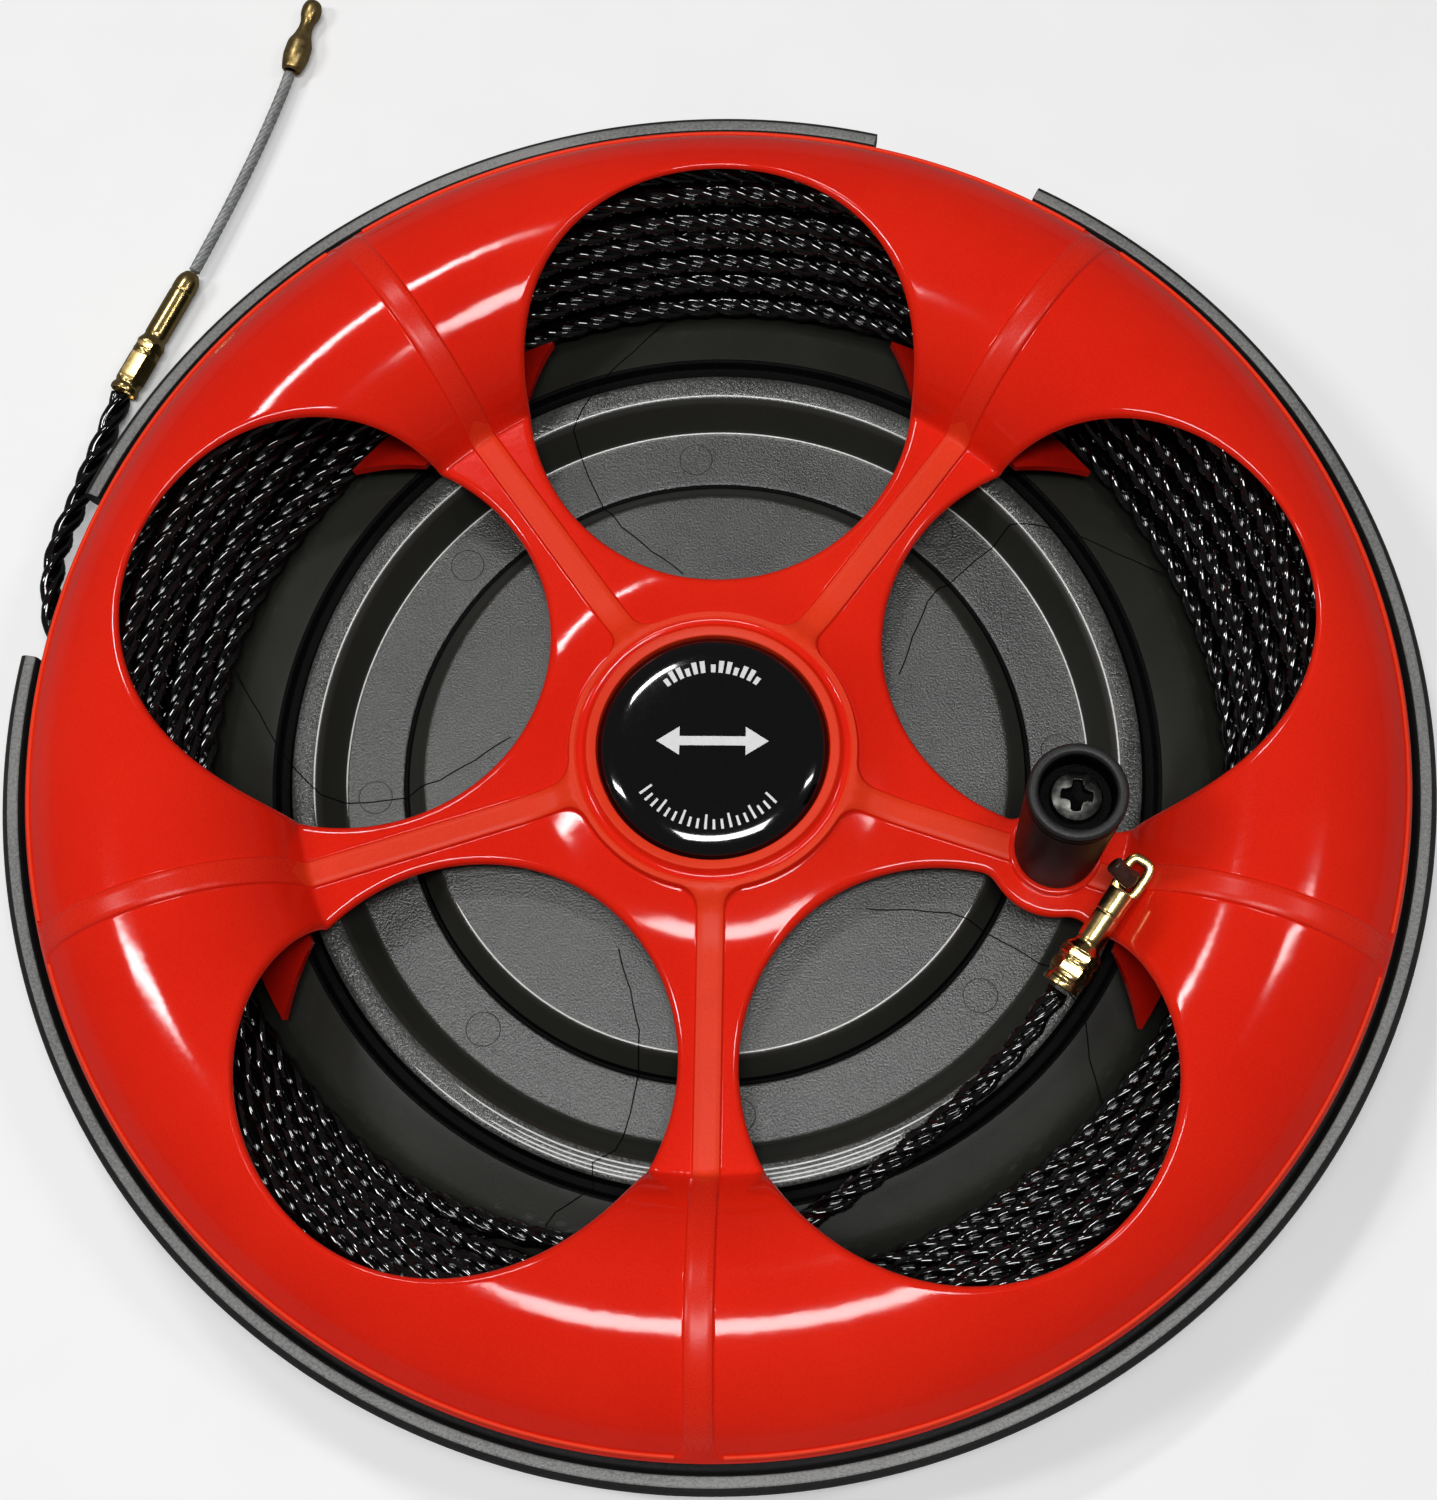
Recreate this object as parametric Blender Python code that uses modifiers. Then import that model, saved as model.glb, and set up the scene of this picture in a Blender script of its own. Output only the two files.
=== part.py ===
"""Fish tape reel: a rear pan, a cranked front wheel turning on it, and the tape wound between them.

The reel lies on its back with the wheel facing up. Its turning axis is +Z through the origin, and
the floor is z = 0. Lengths are in millimetres and are made metres by MM.
"""
import math

import bmesh
import bpy
import numpy as np
from mathutils import Vector

MM = 0.001
GAP = 0.3                    # clearance between two pieces that touch on the real reel

# --- driving dimensions -------------------------------------------------------------------
FLANGE_R = 165.0             # outer edge of the rear pan
FLANGE_TOP = 26.0
COVER_R = 158.4              # outer edge of the front wheel
WALL = 2.5                   # moulded wall thickness of both shells
DISC_TOP = 10.0              # the pan's middle disc, which carries the bearing
FLOOR_TOP = 3.3              # the pan's ring-shaped floor around the disc

TORUS_R, TORUS_Z, TORUS_ROUND = 129.3, 12.7, 32.8   # centre and radius of the wheel's hollow rim
PLATE_TOP = 20.5             # flat of the spokes
PLATE_EDGE_R = 97.8          # where the spokes meet the hollow rim
LEG_R, LEG_Z = 113.0, 16.1   # foot of the inner wall under each spoke
COVER_RIM_Z = 26.6           # lowest edge of the wheel's outer wall

SPOKES = 5
WINDOW_R, WINDOW_RADIAL, WINDOW_ACROSS = 92.0, 48.5, 46.5   # centre and half axes of a window
FIRST_WINDOW = 18.0          # degrees
CRANK_SPOKE = -18.0          # degrees, the spoke with the crank
RIB_HALF, RIB_HIGH = 3.1, 0.8

AXLE_R = 3.0                 # M6 bolt
HEX_AF = 10.0                # across flats of the M6 head and nuts
BADGE_R = 26.7

KNOB_RADIUS, KNOB_ANGLE = 81.6, -16.2                # polar place of the crank axis
KNOB_FOOT, KNOB_TOP = 22.6, 70.0
KNOB_FOOT_R, KNOB_TOP_R = 9.5, 10.7
BOSS_R, BOSS_TOP, BOSS_FOOT = 14.5, 22.0, 13.0
PEG_X, PEG_Y, PEG_R = 94.0, -32.0, 1.7
PEG_FOOT, PEG_TOP, PEG_HEAD_R = 15.0, 37.0, 2.6

TAPE_D = 5.8                 # twisted plastic tape
WIRE_D = 3.0                 # flexible steel leader
OUTLETS = ((157.5, 172.5), (61.7, 76.6))             # degrees, gaps in the flange

RING_STEPS = 48
SMALL_STEPS = 20


def polar(radius, degrees, z=0.0):
    angle = math.radians(degrees)
    return (radius * math.cos(angle), radius * math.sin(angle), z)


KNOB_X, KNOB_Y, _ = polar(KNOB_RADIUS, KNOB_ANGLE)


# --- scene and materials ------------------------------------------------------------------
def clear_scene():
    for thing in list(bpy.data.objects):
        bpy.data.objects.remove(thing, do_unlink=True)


def new_collection(name):
    made = bpy.data.collections.new(name)
    bpy.context.scene.collection.children.link(made)
    return made


def material(name, colour, roughness, metallic=0.0):
    made = bpy.data.materials.new(name)
    made.use_nodes = True
    shader = made.node_tree.nodes["Principled BSDF"]
    shader.inputs["Base Color"].default_value = (*colour, 1.0)
    shader.inputs["Roughness"].default_value = roughness
    shader.inputs["Metallic"].default_value = metallic
    return made


clear_scene()
PARTS = new_collection("fish_tape_reel")
CUTTERS = new_collection("cutters")
RED = material("red_plastic", (0.78, 0.035, 0.015), 0.28)
DARK = material("dark_plastic", (0.075, 0.08, 0.072), 0.55)
BLACK = material("black_plastic", (0.012, 0.012, 0.013), 0.35)
BADGE = material("badge_gloss", (0.006, 0.006, 0.008), 0.12)
BRASS = material("brass", (0.78, 0.55, 0.22), 0.28, 1.0)
STEEL = material("zinc_steel", (0.55, 0.55, 0.56), 0.35, 1.0)
BRONZE = material("sintered_bronze", (0.46, 0.32, 0.18), 0.45, 1.0)
TAPE = material("black_tape", (0.010, 0.010, 0.011), 0.22)
NYLON = material("white_nylon", (0.72, 0.70, 0.64), 0.5)


# --- makers -------------------------------------------------------------------------------
def add_object(name, mesh, finish, cutter=False):
    made = bpy.data.objects.new(name, mesh)
    (CUTTERS if cutter else PARTS).objects.link(made)
    if finish:
        mesh.materials.append(finish)
    if cutter:
        made.hide_render = True
        made.display_type = "WIRE"
    return made


def turned(name, profile, finish, steps=SMALL_STEPS, at=(0.0, 0.0, 0.0), cutter=False):
    """A profile of (radius, z) points turned about Z; it runs down its outer side. A profile whose
    ends lie on the axis is left open, and any other is closed."""
    touches_axis = profile[0][0] == 0 and profile[-1][0] == 0
    mesh = bpy.data.meshes.new(name)
    points = [(radius * MM, 0.0, z * MM) for radius, z in profile]
    edges = [(i, i + 1) for i in range(len(points) - 1)]
    if not touches_axis:
        edges.append((len(points) - 1, 0))
    mesh.from_pydata(points, edges, [])
    made = add_object(name, mesh, finish, cutter)
    screw = made.modifiers.new("turn", "SCREW")
    screw.steps = screw.render_steps = steps
    screw.use_merge_vertices = True
    screw.merge_threshold = 0.00001
    screw.use_smooth_shade = True
    made.location = Vector(at) * MM
    return made


def apply_modifiers(thing):
    """The object's evaluated mesh becomes its own mesh."""
    bpy.context.view_layer.update()
    graph = bpy.context.evaluated_depsgraph_get()
    mesh = bpy.data.meshes.new_from_object(thing.evaluated_get(graph))
    thing.modifiers.clear()
    thing.data = mesh


def extruded(name, outline, low, high, finish=None, at=(0.0, 0.0, 0.0), cutter=False):
    """A closed flat outline of (x, y) points, raised from z = low to z = high."""
    frame = bmesh.new()
    base = [frame.verts.new((x * MM, y * MM, low * MM)) for x, y in outline]
    face = frame.faces.new(base)
    raised = bmesh.ops.extrude_face_region(frame, geom=[face])["geom"]
    moved = [v for v in raised if isinstance(v, bmesh.types.BMVert)]
    bmesh.ops.translate(frame, verts=moved, vec=(0.0, 0.0, (high - low) * MM))
    bmesh.ops.recalc_face_normals(frame, faces=frame.faces)
    mesh = bpy.data.meshes.new(name)
    frame.to_mesh(mesh)
    frame.free()
    made = add_object(name, mesh, finish, cutter)
    made.location = Vector(at) * MM
    return made


def boolean(target, other, operation):
    step = target.modifiers.new(operation.lower(), "BOOLEAN")
    step.operation = operation
    step.object = other
    step.solver = "EXACT"


def hexagon(across):
    corner = across / math.sqrt(3.0)
    return [polar(corner, 60.0 * k)[:2] for k in range(6)]


def circle(radius, points=SMALL_STEPS):
    return [polar(radius, 360.0 * k / points)[:2] for k in range(points)]


def smooth_route(points, spacing):
    """Points every `spacing` along the Catmull-Rom curve through the route's own points."""
    knots = np.array(points, float)
    knots = np.vstack([2 * knots[0] - knots[1], knots, 2 * knots[-1] - knots[-2]])
    fine = []
    for a, b, c, d in zip(knots, knots[1:], knots[2:], knots[3:]):
        for t in np.linspace(0.0, 1.0, 40, endpoint=False):
            fine.append(0.5 * (2 * b + (c - a) * t + (2 * a - 5 * b + 4 * c - d) * t**2
                               + (3 * b - a - 3 * c + d) * t**3))
    fine.append(knots[-2])
    fine = np.array(fine)
    along = np.concatenate([[0.0], np.cumsum(np.linalg.norm(np.diff(fine, axis=0), axis=1))])
    wanted = np.linspace(0.0, along[-1], max(3, round(along[-1] / spacing) + 1))
    return np.stack([np.interp(wanted, along, fine[:, k]) for k in range(3)], axis=1)


def tube(name, route, diameter, finish, spacing, closed=False, resolution=2):
    points = smooth_route(route, spacing)
    if closed:
        points = points[:-1]
    curve = bpy.data.curves.new(name, "CURVE")
    curve.dimensions = "3D"
    spline = curve.splines.new("POLY")
    spline.points.add(len(points) - 1)
    for place, (x, y, z) in zip(spline.points, points):
        place.co = (x * MM, y * MM, z * MM, 1.0)
    spline.use_cyclic_u = closed
    curve.bevel_depth = diameter / 2 * MM
    curve.bevel_resolution = resolution
    curve.use_fill_caps = not closed
    curve.materials.append(finish)
    made = bpy.data.objects.new(name, curve)
    PARTS.objects.link(made)
    return made


def laid_turned(name, profile, finish, start, end, steps=16):
    """A turned piece whose own +Z runs from `start` towards `end`."""
    made = turned(name, profile, finish, steps, at=start)
    direction = Vector(end) - Vector(start)
    made.rotation_euler = direction.to_track_quat("Z", "Y").to_euler()
    return made


# --- rear pan -----------------------------------------------------------------------------
def rear_pan():
    """A shallow dish: bearing boss, middle disc, ring floor, raised bead, tape channel, flange."""
    upper = [
        (AXLE_R + GAP + 0.4, 12.0), (8.2, 12.0), (9.0, 11.2), (9.0, DISC_TOP),
        (68.8, DISC_TOP), (70.0, DISC_TOP - 1.0), (74.0, FLOOR_TOP), (88.5, FLOOR_TOP),
        (92.8, 10.6), (94.2, 12.0), (99.9, 12.0), (101.3, 10.4), (102.9, 10.4), (104.3, 12.1),
        (115.5, 8.4), (121.0, 3.6), (126.0, WALL), (146.0, WALL), (152.5, 4.6), (156.6, 10.0),
        (157.4, 20.6), (161.0, 21.8), (161.8, 25.4), (163.4, FLANGE_TOP),
    ]
    lower = [
        (FLANGE_R, 24.4), (FLANGE_R, 20.4), (163.8, 18.8), (160.4, 18.4), (159.4, 9.2),
        (154.4, 2.4), (147.0, 0.0), (125.0, 0.0), (119.0, 1.3), (113.6, 5.8), (92.0, 7.6),
        (89.6, 0.8), (72.6, 0.8), (68.4, DISC_TOP - WALL), (AXLE_R + GAP + 0.4, DISC_TOP - WALL),
    ]
    pan = turned("rear_pan", upper + lower, DARK, RING_STEPS)
    apply_modifiers(pan)
    for index, (first, last) in enumerate(OUTLETS):
        middle, half = math.radians((first + last) / 2), math.radians((last - first) / 2)
        inner, outer = 155.2, 175.0
        corners = [(inner, -half), (outer, -half), (outer, half), (inner, half)]
        outline = [(r * math.cos(middle + a), r * math.sin(middle + a)) for r, a in corners]
        boolean(pan, extruded(f"cut_outlet_{index}", outline, 8.4, 30.0, cutter=True), "DIFFERENCE")
    return pan


# --- front wheel --------------------------------------------------------------------------
def torus_z(radius, offset=0.0):
    """Height of the hollow rim's skin, `offset` inside its outer surface."""
    reach = TORUS_ROUND - offset
    return TORUS_Z + math.sqrt(max(reach**2 - (radius - TORUS_R) ** 2, 0.0))


def cover_top(radius):
    """Height of the wheel's upper surface, spoke plate and hollow rim together."""
    if radius >= PLATE_EDGE_R:
        return torus_z(radius)
    hub = (34.0, 23.6)
    if radius <= hub[0]:
        return hub[1]
    blend = min((radius - hub[0]) / 14.0, 1.0)
    return hub[1] + (PLATE_TOP - hub[1]) * math.sin(blend * math.pi / 2)


def rib_outline():
    """Side view of a rib: (radius, z) points just above and just below the wheel's upper surface."""
    radii = [34.5, 39.0, 48.0, 74.0, 96.4, 98.6, 101.0, 106.0, 113.0, 121.0, 129.3, 137.0, 144.0,
             150.0, 154.0, 157.0]
    above = [(r, cover_top(r) + RIB_HIGH) for r in radii]
    below = [(r, cover_top(r) - 1.1) for r in reversed(radii)]
    return above + below


def add_rib(angle, index):
    outline = rib_outline()
    rib = extruded(f"rib_{index}", outline, -RIB_HALF, RIB_HALF, cutter=True)
    turn = math.radians(angle)
    # the outline's own x is the radius and its y the height: stand it up, then turn it about Z
    rib.rotation_euler = (math.pi / 2, 0.0, turn)
    return rib


def front_cover():
    """The red wheel: badge seat, five spokes, hollow rim over the tape, and the crank's boss."""
    top = [
        (8.95, 17.2), (15.0, 17.2), (16.0, 24.0), (BADGE_R + 0.5, 24.0), (BADGE_R + 0.5, 26.4),
        (29.3, 26.6), (30.2, 25.0), (31.6, 25.0), (32.2, 25.6), (33.2, 25.2), (34.0, 23.6),
        (39.0, 21.8), (48.0, PLATE_TOP), (97.0, PLATE_TOP), (PLATE_EDGE_R, torus_z(PLATE_EDGE_R)),
    ]
    rim = [(r, torus_z(r)) for r in (100.5, 105.0, 112.0, 120.5, 129.3, 138.0, 145.5, 151.5, 156.0)]
    outer_edge = [(COVER_R, 28.2), (COVER_R, COVER_RIM_Z), (155.9, COVER_RIM_Z)]
    inner = [(r, torus_z(r, WALL)) for r in (154.8, 150.0, 143.5, 136.0, 127.0, 118.0, 110.0, 104.0)]
    leg = [(LEG_R + 1.6, LEG_Z + 0.6), (LEG_R, LEG_Z), (109.0, 17.4), (101.0, 17.8),
           (96.4, PLATE_TOP - WALL)]
    under = [(26.0, 18.0), (24.5, 12.0), (8.95, 12.0)]
    cover = turned("front_cover", top + rim + outer_edge + inner + leg + under, RED, RING_STEPS)
    apply_modifiers(cover)
    for k in range(SPOKES):
        angle = FIRST_WINDOW + 360.0 / SPOKES * k
        oval = [(WINDOW_RADIAL * math.cos(t), WINDOW_ACROSS * math.sin(t))
                for t in np.linspace(0.0, 2 * math.pi, 30, endpoint=False)]
        window = extruded(f"cut_window_{k}", oval, 5.0, 60.0, at=polar(WINDOW_R, angle), cutter=True)
        window.rotation_euler.z = math.radians(angle)
        boolean(cover, window, "DIFFERENCE")
    for k in range(SPOKES):
        boolean(cover, add_rib(CRANK_SPOKE + 360.0 / SPOKES * k, k), "UNION")
    boss = extruded("crank_boss", circle(BOSS_R), PLATE_TOP - WALL - 0.1, BOSS_TOP,
                    at=(KNOB_X, KNOB_Y, 0.0), cutter=True)
    post = extruded("crank_post", circle(9.0), BOSS_FOOT, BOSS_TOP - 0.5,
                    at=(KNOB_X, KNOB_Y, 0.0), cutter=True)
    boolean(cover, boss, "UNION")
    boolean(cover, post, "UNION")
    for name, radius, x, y in (("cut_crank", AXLE_R + GAP, KNOB_X, KNOB_Y),
                               ("cut_peg", PEG_R + GAP, PEG_X, PEG_Y)):
        hole = extruded(name, circle(radius, 16), 8.0, 40.0, at=(x, y, 0.0), cutter=True)
        boolean(cover, hole, "DIFFERENCE")
    return cover


# --- bearing at the middle ----------------------------------------------------------------
def bolt(name, head_low, head_high, shaft_end, finish):
    """A hex-head bolt on Z, head below."""
    head = extruded(name, hexagon(HEX_AF), head_low, head_high, finish)
    shaft = extruded(f"{name}_shaft", circle(AXLE_R), head_high - 0.5, shaft_end, cutter=True)
    boolean(head, shaft, "UNION")
    return head


def ring(name, inner, outer, low, high, finish, at=(0.0, 0.0, 0.0), steps=SMALL_STEPS):
    profile = [(inner, high), (outer, high), (outer, low), (inner, low)]
    return turned(name, profile, finish, steps, at)


def hex_nut(name, low, high, finish, at=(0.0, 0.0, 0.0)):
    nut = extruded(name, hexagon(HEX_AF), low, high, finish, at=at)
    hole = extruded(f"cut_{name}", circle(AXLE_R + GAP), low - 2.0, high + 2.0, at=at, cutter=True)
    boolean(nut, hole, "DIFFERENCE")
    return nut


def bearing():
    bolt("axle_bolt", 1.2, 5.4, 23.3, STEEL)
    ring("rear_washer", AXLE_R + GAP, 8.0, 5.7, 7.2, STEEL)
    ring("thrust_washer", 9.3, 22.0, DISC_TOP + GAP, 12.0 - GAP, NYLON)
    ring("hub_bush", AXLE_R + GAP, 8.65, 12.3, 16.9, BRONZE)
    ring("front_washer", AXLE_R + GAP, 9.6, 17.5, 18.8, STEEL)
    hex_nut("lock_nut", 19.1, 23.6, STEEL)


def hub_badge():
    dome = [(0.0, 28.6), (9.0, 28.3), (17.0, 27.6), (23.0, 26.5), (BADGE_R - 0.6, 25.4),
            (BADGE_R, 24.9), (BADGE_R, 24.3), (0.0, 24.3)]
    return turned("hub_badge", dome, BADGE, 40)


# --- crank --------------------------------------------------------------------------------
def crank():
    """The knob turns on a sleeve that the screw clamps to the boss; its empty is on the axis."""
    axis = (KNOB_X, KNOB_Y, 0.0)
    pivot = bpy.data.objects.new("crank_axis", None)
    PARTS.objects.link(pivot)
    pivot.location = Vector(axis) * MM
    grip = [
        (5.35, KNOB_TOP - 7.8), (8.05, KNOB_TOP - 7.8), (8.05, KNOB_TOP - 1.0), (8.6, KNOB_TOP),
        (9.8, KNOB_TOP),
        (KNOB_TOP_R, KNOB_TOP - 1.0), (KNOB_TOP_R, KNOB_TOP - 4.0), (10.2, 46.0),
        (KNOB_FOOT_R, KNOB_FOOT + 1.0), (KNOB_FOOT_R - 0.7, KNOB_FOOT), (5.35, KNOB_FOOT),
    ]
    turned("knob_grip", grip, BLACK, 32).parent = pivot
    ring("crank_sleeve", AXLE_R + GAP, 5.0, BOSS_TOP + GAP, KNOB_TOP - 7.5, STEEL, at=axis)
    ring("crank_washer", AXLE_R + GAP, 7.6, KNOB_TOP - 7.2, KNOB_TOP - 6.0, STEEL, at=axis)
    screw = [(0.0, 67.4), (3.4, 67.2), (4.9, 66.4), (5.7, 65.2), (5.7, 64.3), (AXLE_R, 64.3),
             (AXLE_R, 6.6), (AXLE_R - 0.5, 6.0), (0.0, 6.0)]
    head = turned("crank_screw", screw, STEEL, at=axis)
    apply_modifiers(head)
    for k, (long, wide) in enumerate(((3.6, 0.55), (0.55, 3.6))):
        slot = [(-long, -wide), (long, -wide), (long, wide), (-long, wide)]
        boolean(head, extruded(f"cut_drive_{k}", slot, 65.4, 70.0, at=axis, cutter=True), "DIFFERENCE")
    hex_nut("crank_nut", 7.4, BOSS_FOOT - GAP, STEEL, at=axis)


def tail_peg():
    """The headed pin that holds the inner end of the tape; it is pressed through the wheel."""
    profile = [(0.0, PEG_TOP), (PEG_HEAD_R - 0.6, PEG_TOP), (PEG_HEAD_R, PEG_TOP - 0.6),
               (PEG_HEAD_R, PEG_TOP - 1.6), (PEG_R, PEG_TOP - 1.7), (PEG_R, PEG_FOOT), (0.0, PEG_FOOT)]
    return turned("tail_peg", profile, BLACK, 20, at=(PEG_X, PEG_Y, 0.0))


# --- tape ---------------------------------------------------------------------------------
def tape_winding():
    """The outer shape of the wound turns, sprung outwards into the rim and clear of both shells."""
    section = [(118.6, 11.5), (124.0, 19.0), (131.0, 28.5), (138.0, 36.0), (145.0, 37.0), (150.5, 32.5),
               (153.2, 24.0), (153.2, 11.0), (150.4, 5.6), (145.0, 3.1), (127.0, 3.1), (121.6, 4.4),
               (118.6, 8.0)]
    return turned("tape_winding", section, TAPE, RING_STEPS)


TAIL_ROUTE = (
    (-8.0, -114.0, 12.3), (4.0, -112.4, 12.7), (15.0, -109.0, 13.4), (27.0, -103.2, 15.0),
    (38.3, -95.3, 16.2), (48.7, -87.2, 17.6), (58.0, -79.2, 19.6), (67.2, -69.8, 22.6),
    (73.4, -62.0, 25.0), (77.6, -56.2, 26.7),
)
EYE_Z, EYE_LONG, EYE_WIDE, EYE_D = 33.4, 4.6, 3.1, 1.8     # centre line of the eyelet's oval
TAIL_START = Vector((78.0, -55.6, 27.0))
TAIL_PULL = (Vector((PEG_X, PEG_Y, EYE_Z)) - TAIL_START).normalized()
TAIL_FITTING = (TAIL_START, Vector((PEG_X, PEG_Y, EYE_Z)) - TAIL_PULL * (EYE_LONG + EYE_D / 2))
LEAD_ROUTE = (
    (-156.6, 24.8, 12.4), (-159.6, 31.5, 12.6), (-161.4, 39.5, 12.6), (-162.0, 48.5, 12.0),
    (-161.2, 58.0, 10.0), (-158.8, 68.0, 8.0), (-157.0, 78.0, 5.8), (-154.6, 88.0, 4.4),
    (-151.9, 98.6, 3.8),
)
LEAD_FITTING = ((-151.7, 99.2, 3.95), (-136.5, 132.6, 4.1))
LEADER_ROUTE = (
    (-136.2, 133.3, 4.1), (-131.6, 144.6, 4.0), (-126.6, 157.6, 3.8), (-121.6, 171.8, 3.6),
    (-117.6, 184.6, 3.5), (-115.7, 191.6, 3.5),
)
TIP_FITTING = ((-115.5, 192.3, 3.5), (-110.5, 213.4, 3.4))


def crimp_profile(length, crimp, shank, waist):
    """A brass ferrule: a fat crimped mouth at z = 0, a groove, and a slimmer shank."""
    mouth = length * 0.5
    return [(0.0, length), (shank - 0.8, length), (shank, length - 0.9), (shank, mouth + 1.6),
            (waist, mouth + 1.2), (waist, mouth), (crimp, mouth - 1.4), (crimp, 1.2), (crimp - 0.5, 0.0),
            (0.0, 0.0)]


def distance(ends):
    return (Vector(ends[1]) - Vector(ends[0])).length


def tape_ends():
    tube("tape_tail", TAIL_ROUTE, TAPE_D, TAPE, spacing=6.0)
    laid_turned("tail_sleeve", crimp_profile(distance(TAIL_FITTING), 4.8, 3.2, 2.8), BRASS, *TAIL_FITTING)
    across = TAIL_PULL.cross(Vector((0.0, 0.0, 1.0))).normalized()
    middle = Vector((PEG_X, PEG_Y, EYE_Z)) + TAIL_PULL * 0.6 + across * 0.1
    eye = [middle + TAIL_PULL * EYE_LONG * math.cos(t) + across * EYE_WIDE * math.sin(t)
           for t in np.linspace(0.0, 2 * math.pi, 21)]
    tube("tail_eyelet", eye, EYE_D, BRASS, spacing=1.6, closed=True)
    tube("tape_lead", LEAD_ROUTE, TAPE_D, TAPE, spacing=6.0)
    laid_turned("lead_sleeve", crimp_profile(distance(LEAD_FITTING), 3.9, 3.0, 2.6), BRASS, *LEAD_FITTING)
    tube("leader_wire", LEADER_ROUTE, WIRE_D, STEEL, spacing=6.0)
    long = distance(TIP_FITTING)
    head = [(0.0, long), (1.4, long - 0.3), (2.5, long - 1.8), (2.6, long - 4.0), (1.75, long - 6.4),
            (1.75, long - 8.4), (2.9, long - 10.6), (3.4, long - 13.6), (3.2, long - 17.0),
            (2.6, 0.8), (2.1, 0.0), (0.0, 0.0)]
    laid_turned("leader_tip", head, BRASS, *TIP_FITTING)


rear_pan()
front_cover()
bearing()
hub_badge()
crank()
tail_peg()
tape_winding()
tape_ends()
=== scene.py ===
"""Looks of the fish tape reel: fine surfaces, materials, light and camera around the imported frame.

Lengths are millimetres in the frame's axes (+Z is the turning axis, z = 0 the floor) and become
metres in mesh_object. The camera and the lights are in metres, and so are the materials' scales.
"""

import math

import bmesh
import bpy
import numpy as np
from mathutils import Matrix, Vector


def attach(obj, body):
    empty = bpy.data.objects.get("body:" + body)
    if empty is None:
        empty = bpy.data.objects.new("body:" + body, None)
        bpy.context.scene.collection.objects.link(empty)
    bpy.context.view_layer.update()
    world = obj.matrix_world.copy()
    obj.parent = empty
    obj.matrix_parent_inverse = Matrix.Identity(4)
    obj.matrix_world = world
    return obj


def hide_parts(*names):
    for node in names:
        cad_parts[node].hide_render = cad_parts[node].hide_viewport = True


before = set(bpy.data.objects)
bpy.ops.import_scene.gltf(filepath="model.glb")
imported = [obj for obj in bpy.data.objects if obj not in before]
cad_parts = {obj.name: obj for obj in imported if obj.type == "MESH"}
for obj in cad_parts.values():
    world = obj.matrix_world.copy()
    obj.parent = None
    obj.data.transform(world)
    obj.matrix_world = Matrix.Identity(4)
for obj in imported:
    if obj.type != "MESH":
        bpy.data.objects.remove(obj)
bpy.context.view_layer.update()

# --- dimensions shared with the frame ----------------------------------------------------------
SECTORS, SECTOR_STEP, FIRST_WINDOW = 5, 72.0, 18.0  # windows of the wheel, in degrees
SPOKE_HALF = math.radians(SECTOR_STEP / 2)
TORUS_R, TORUS_Z, TORUS_ROUND = 129.3, 12.7, 32.8  # the wheel's rim is part of a torus
PLATE_TOP, PLATE_EDGE_R = 20.5, 97.8  # the plate inside the rim
COVER_R, RAISED_EDGE_R = 158.4, 157.3
WINDOW_R, WINDOW_RADIAL, WINDOW_ACROSS = 92.0, 48.5, 46.5  # centre and half sizes of a window
HUB_LIP_R, HUB_CREST_R = 33.4, 32.2
RIB_HALF = 3.0
BEAD_R = 157.2
COVER_WALL = 1.9
KNOB_R, KNOB_ANGLE = 81.6, math.radians(-16.2)
KNOB = (KNOB_R * math.cos(KNOB_ANGLE), KNOB_R * math.sin(KNOB_ANGLE))
PEG = (94.0, -32.0)
EYE_Z = 33.4
OUTLETS = ((157.5, 172.5), (61.7, 76.6))  # gaps of the flange, in degrees

# --- the tape and the leader -------------------------------------------------------------------
TAPE_D, TAPE_PITCH = 5.8, 24.5
LEADER_D, LEADER_PITCH = 3.0, 13.0
WINDING_ROWS = ((6, 1), (6, -1), (5, 1), (4, -1), (3, 1))  # turns, and 1 if laid from below
FIRST_R, FIRST_Z = 121.6, 9.0  # the innermost turn
ROW_OUT, ROW_DOWN = 5.78, 0.45  # from a row to the next
TURN_OUT, TURN_UP = 3.3, 4.8  # from a turn to the next in its row
WINDING_R, WINDING_LOW, WINDING_END_Z = 150.2, 6.1, 19.0  # farthest out, lowest, and the outer end
RIM_BORE = 27.0  # radius inside the torus that is left for the tape
PRESSED_ANGLE, PRESSED_IN = 142.0, 2.8  # where the first two turns lie farther in
# TAIL_ROUTE's first point from above the axis, and its swing from there to the first turn
TAIL_R, TAIL_Z, TAIL_ANGLE, TAIL_SWEEP = 114.3, 12.3, -94.0, -40.0
TAIL_SLEEVE = (78.0, -55.6, 27.0)
TAIL_ROUTE = (
    (-8.0, -114.0, 12.3), (4.0, -112.4, 12.7), (15.0, -109.0, 13.4), (27.0, -103.2, 15.0),
    (38.3, -95.3, 16.2), (48.7, -87.2, 17.6), (58.0, -79.2, 19.6), (67.2, -69.8, 22.6),
    (73.4, -62.0, 25.0), (77.6, -56.2, 26.7),
)
LEAD_ROUTE = (
    (-156.6, 24.8, 12.4), (-159.6, 31.5, 12.6), (-161.4, 39.5, 12.6), (-162.0, 48.5, 12.0),
    (-161.2, 58.0, 10.0), (-158.8, 68.0, 8.0), (-157.0, 78.0, 5.8), (-154.6, 88.0, 4.4),
    (-151.9, 98.6, 3.8),
)
LEAD_FITTING = ((-151.7, 99.2, 3.95), (-136.5, 132.6, 4.1))
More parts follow.
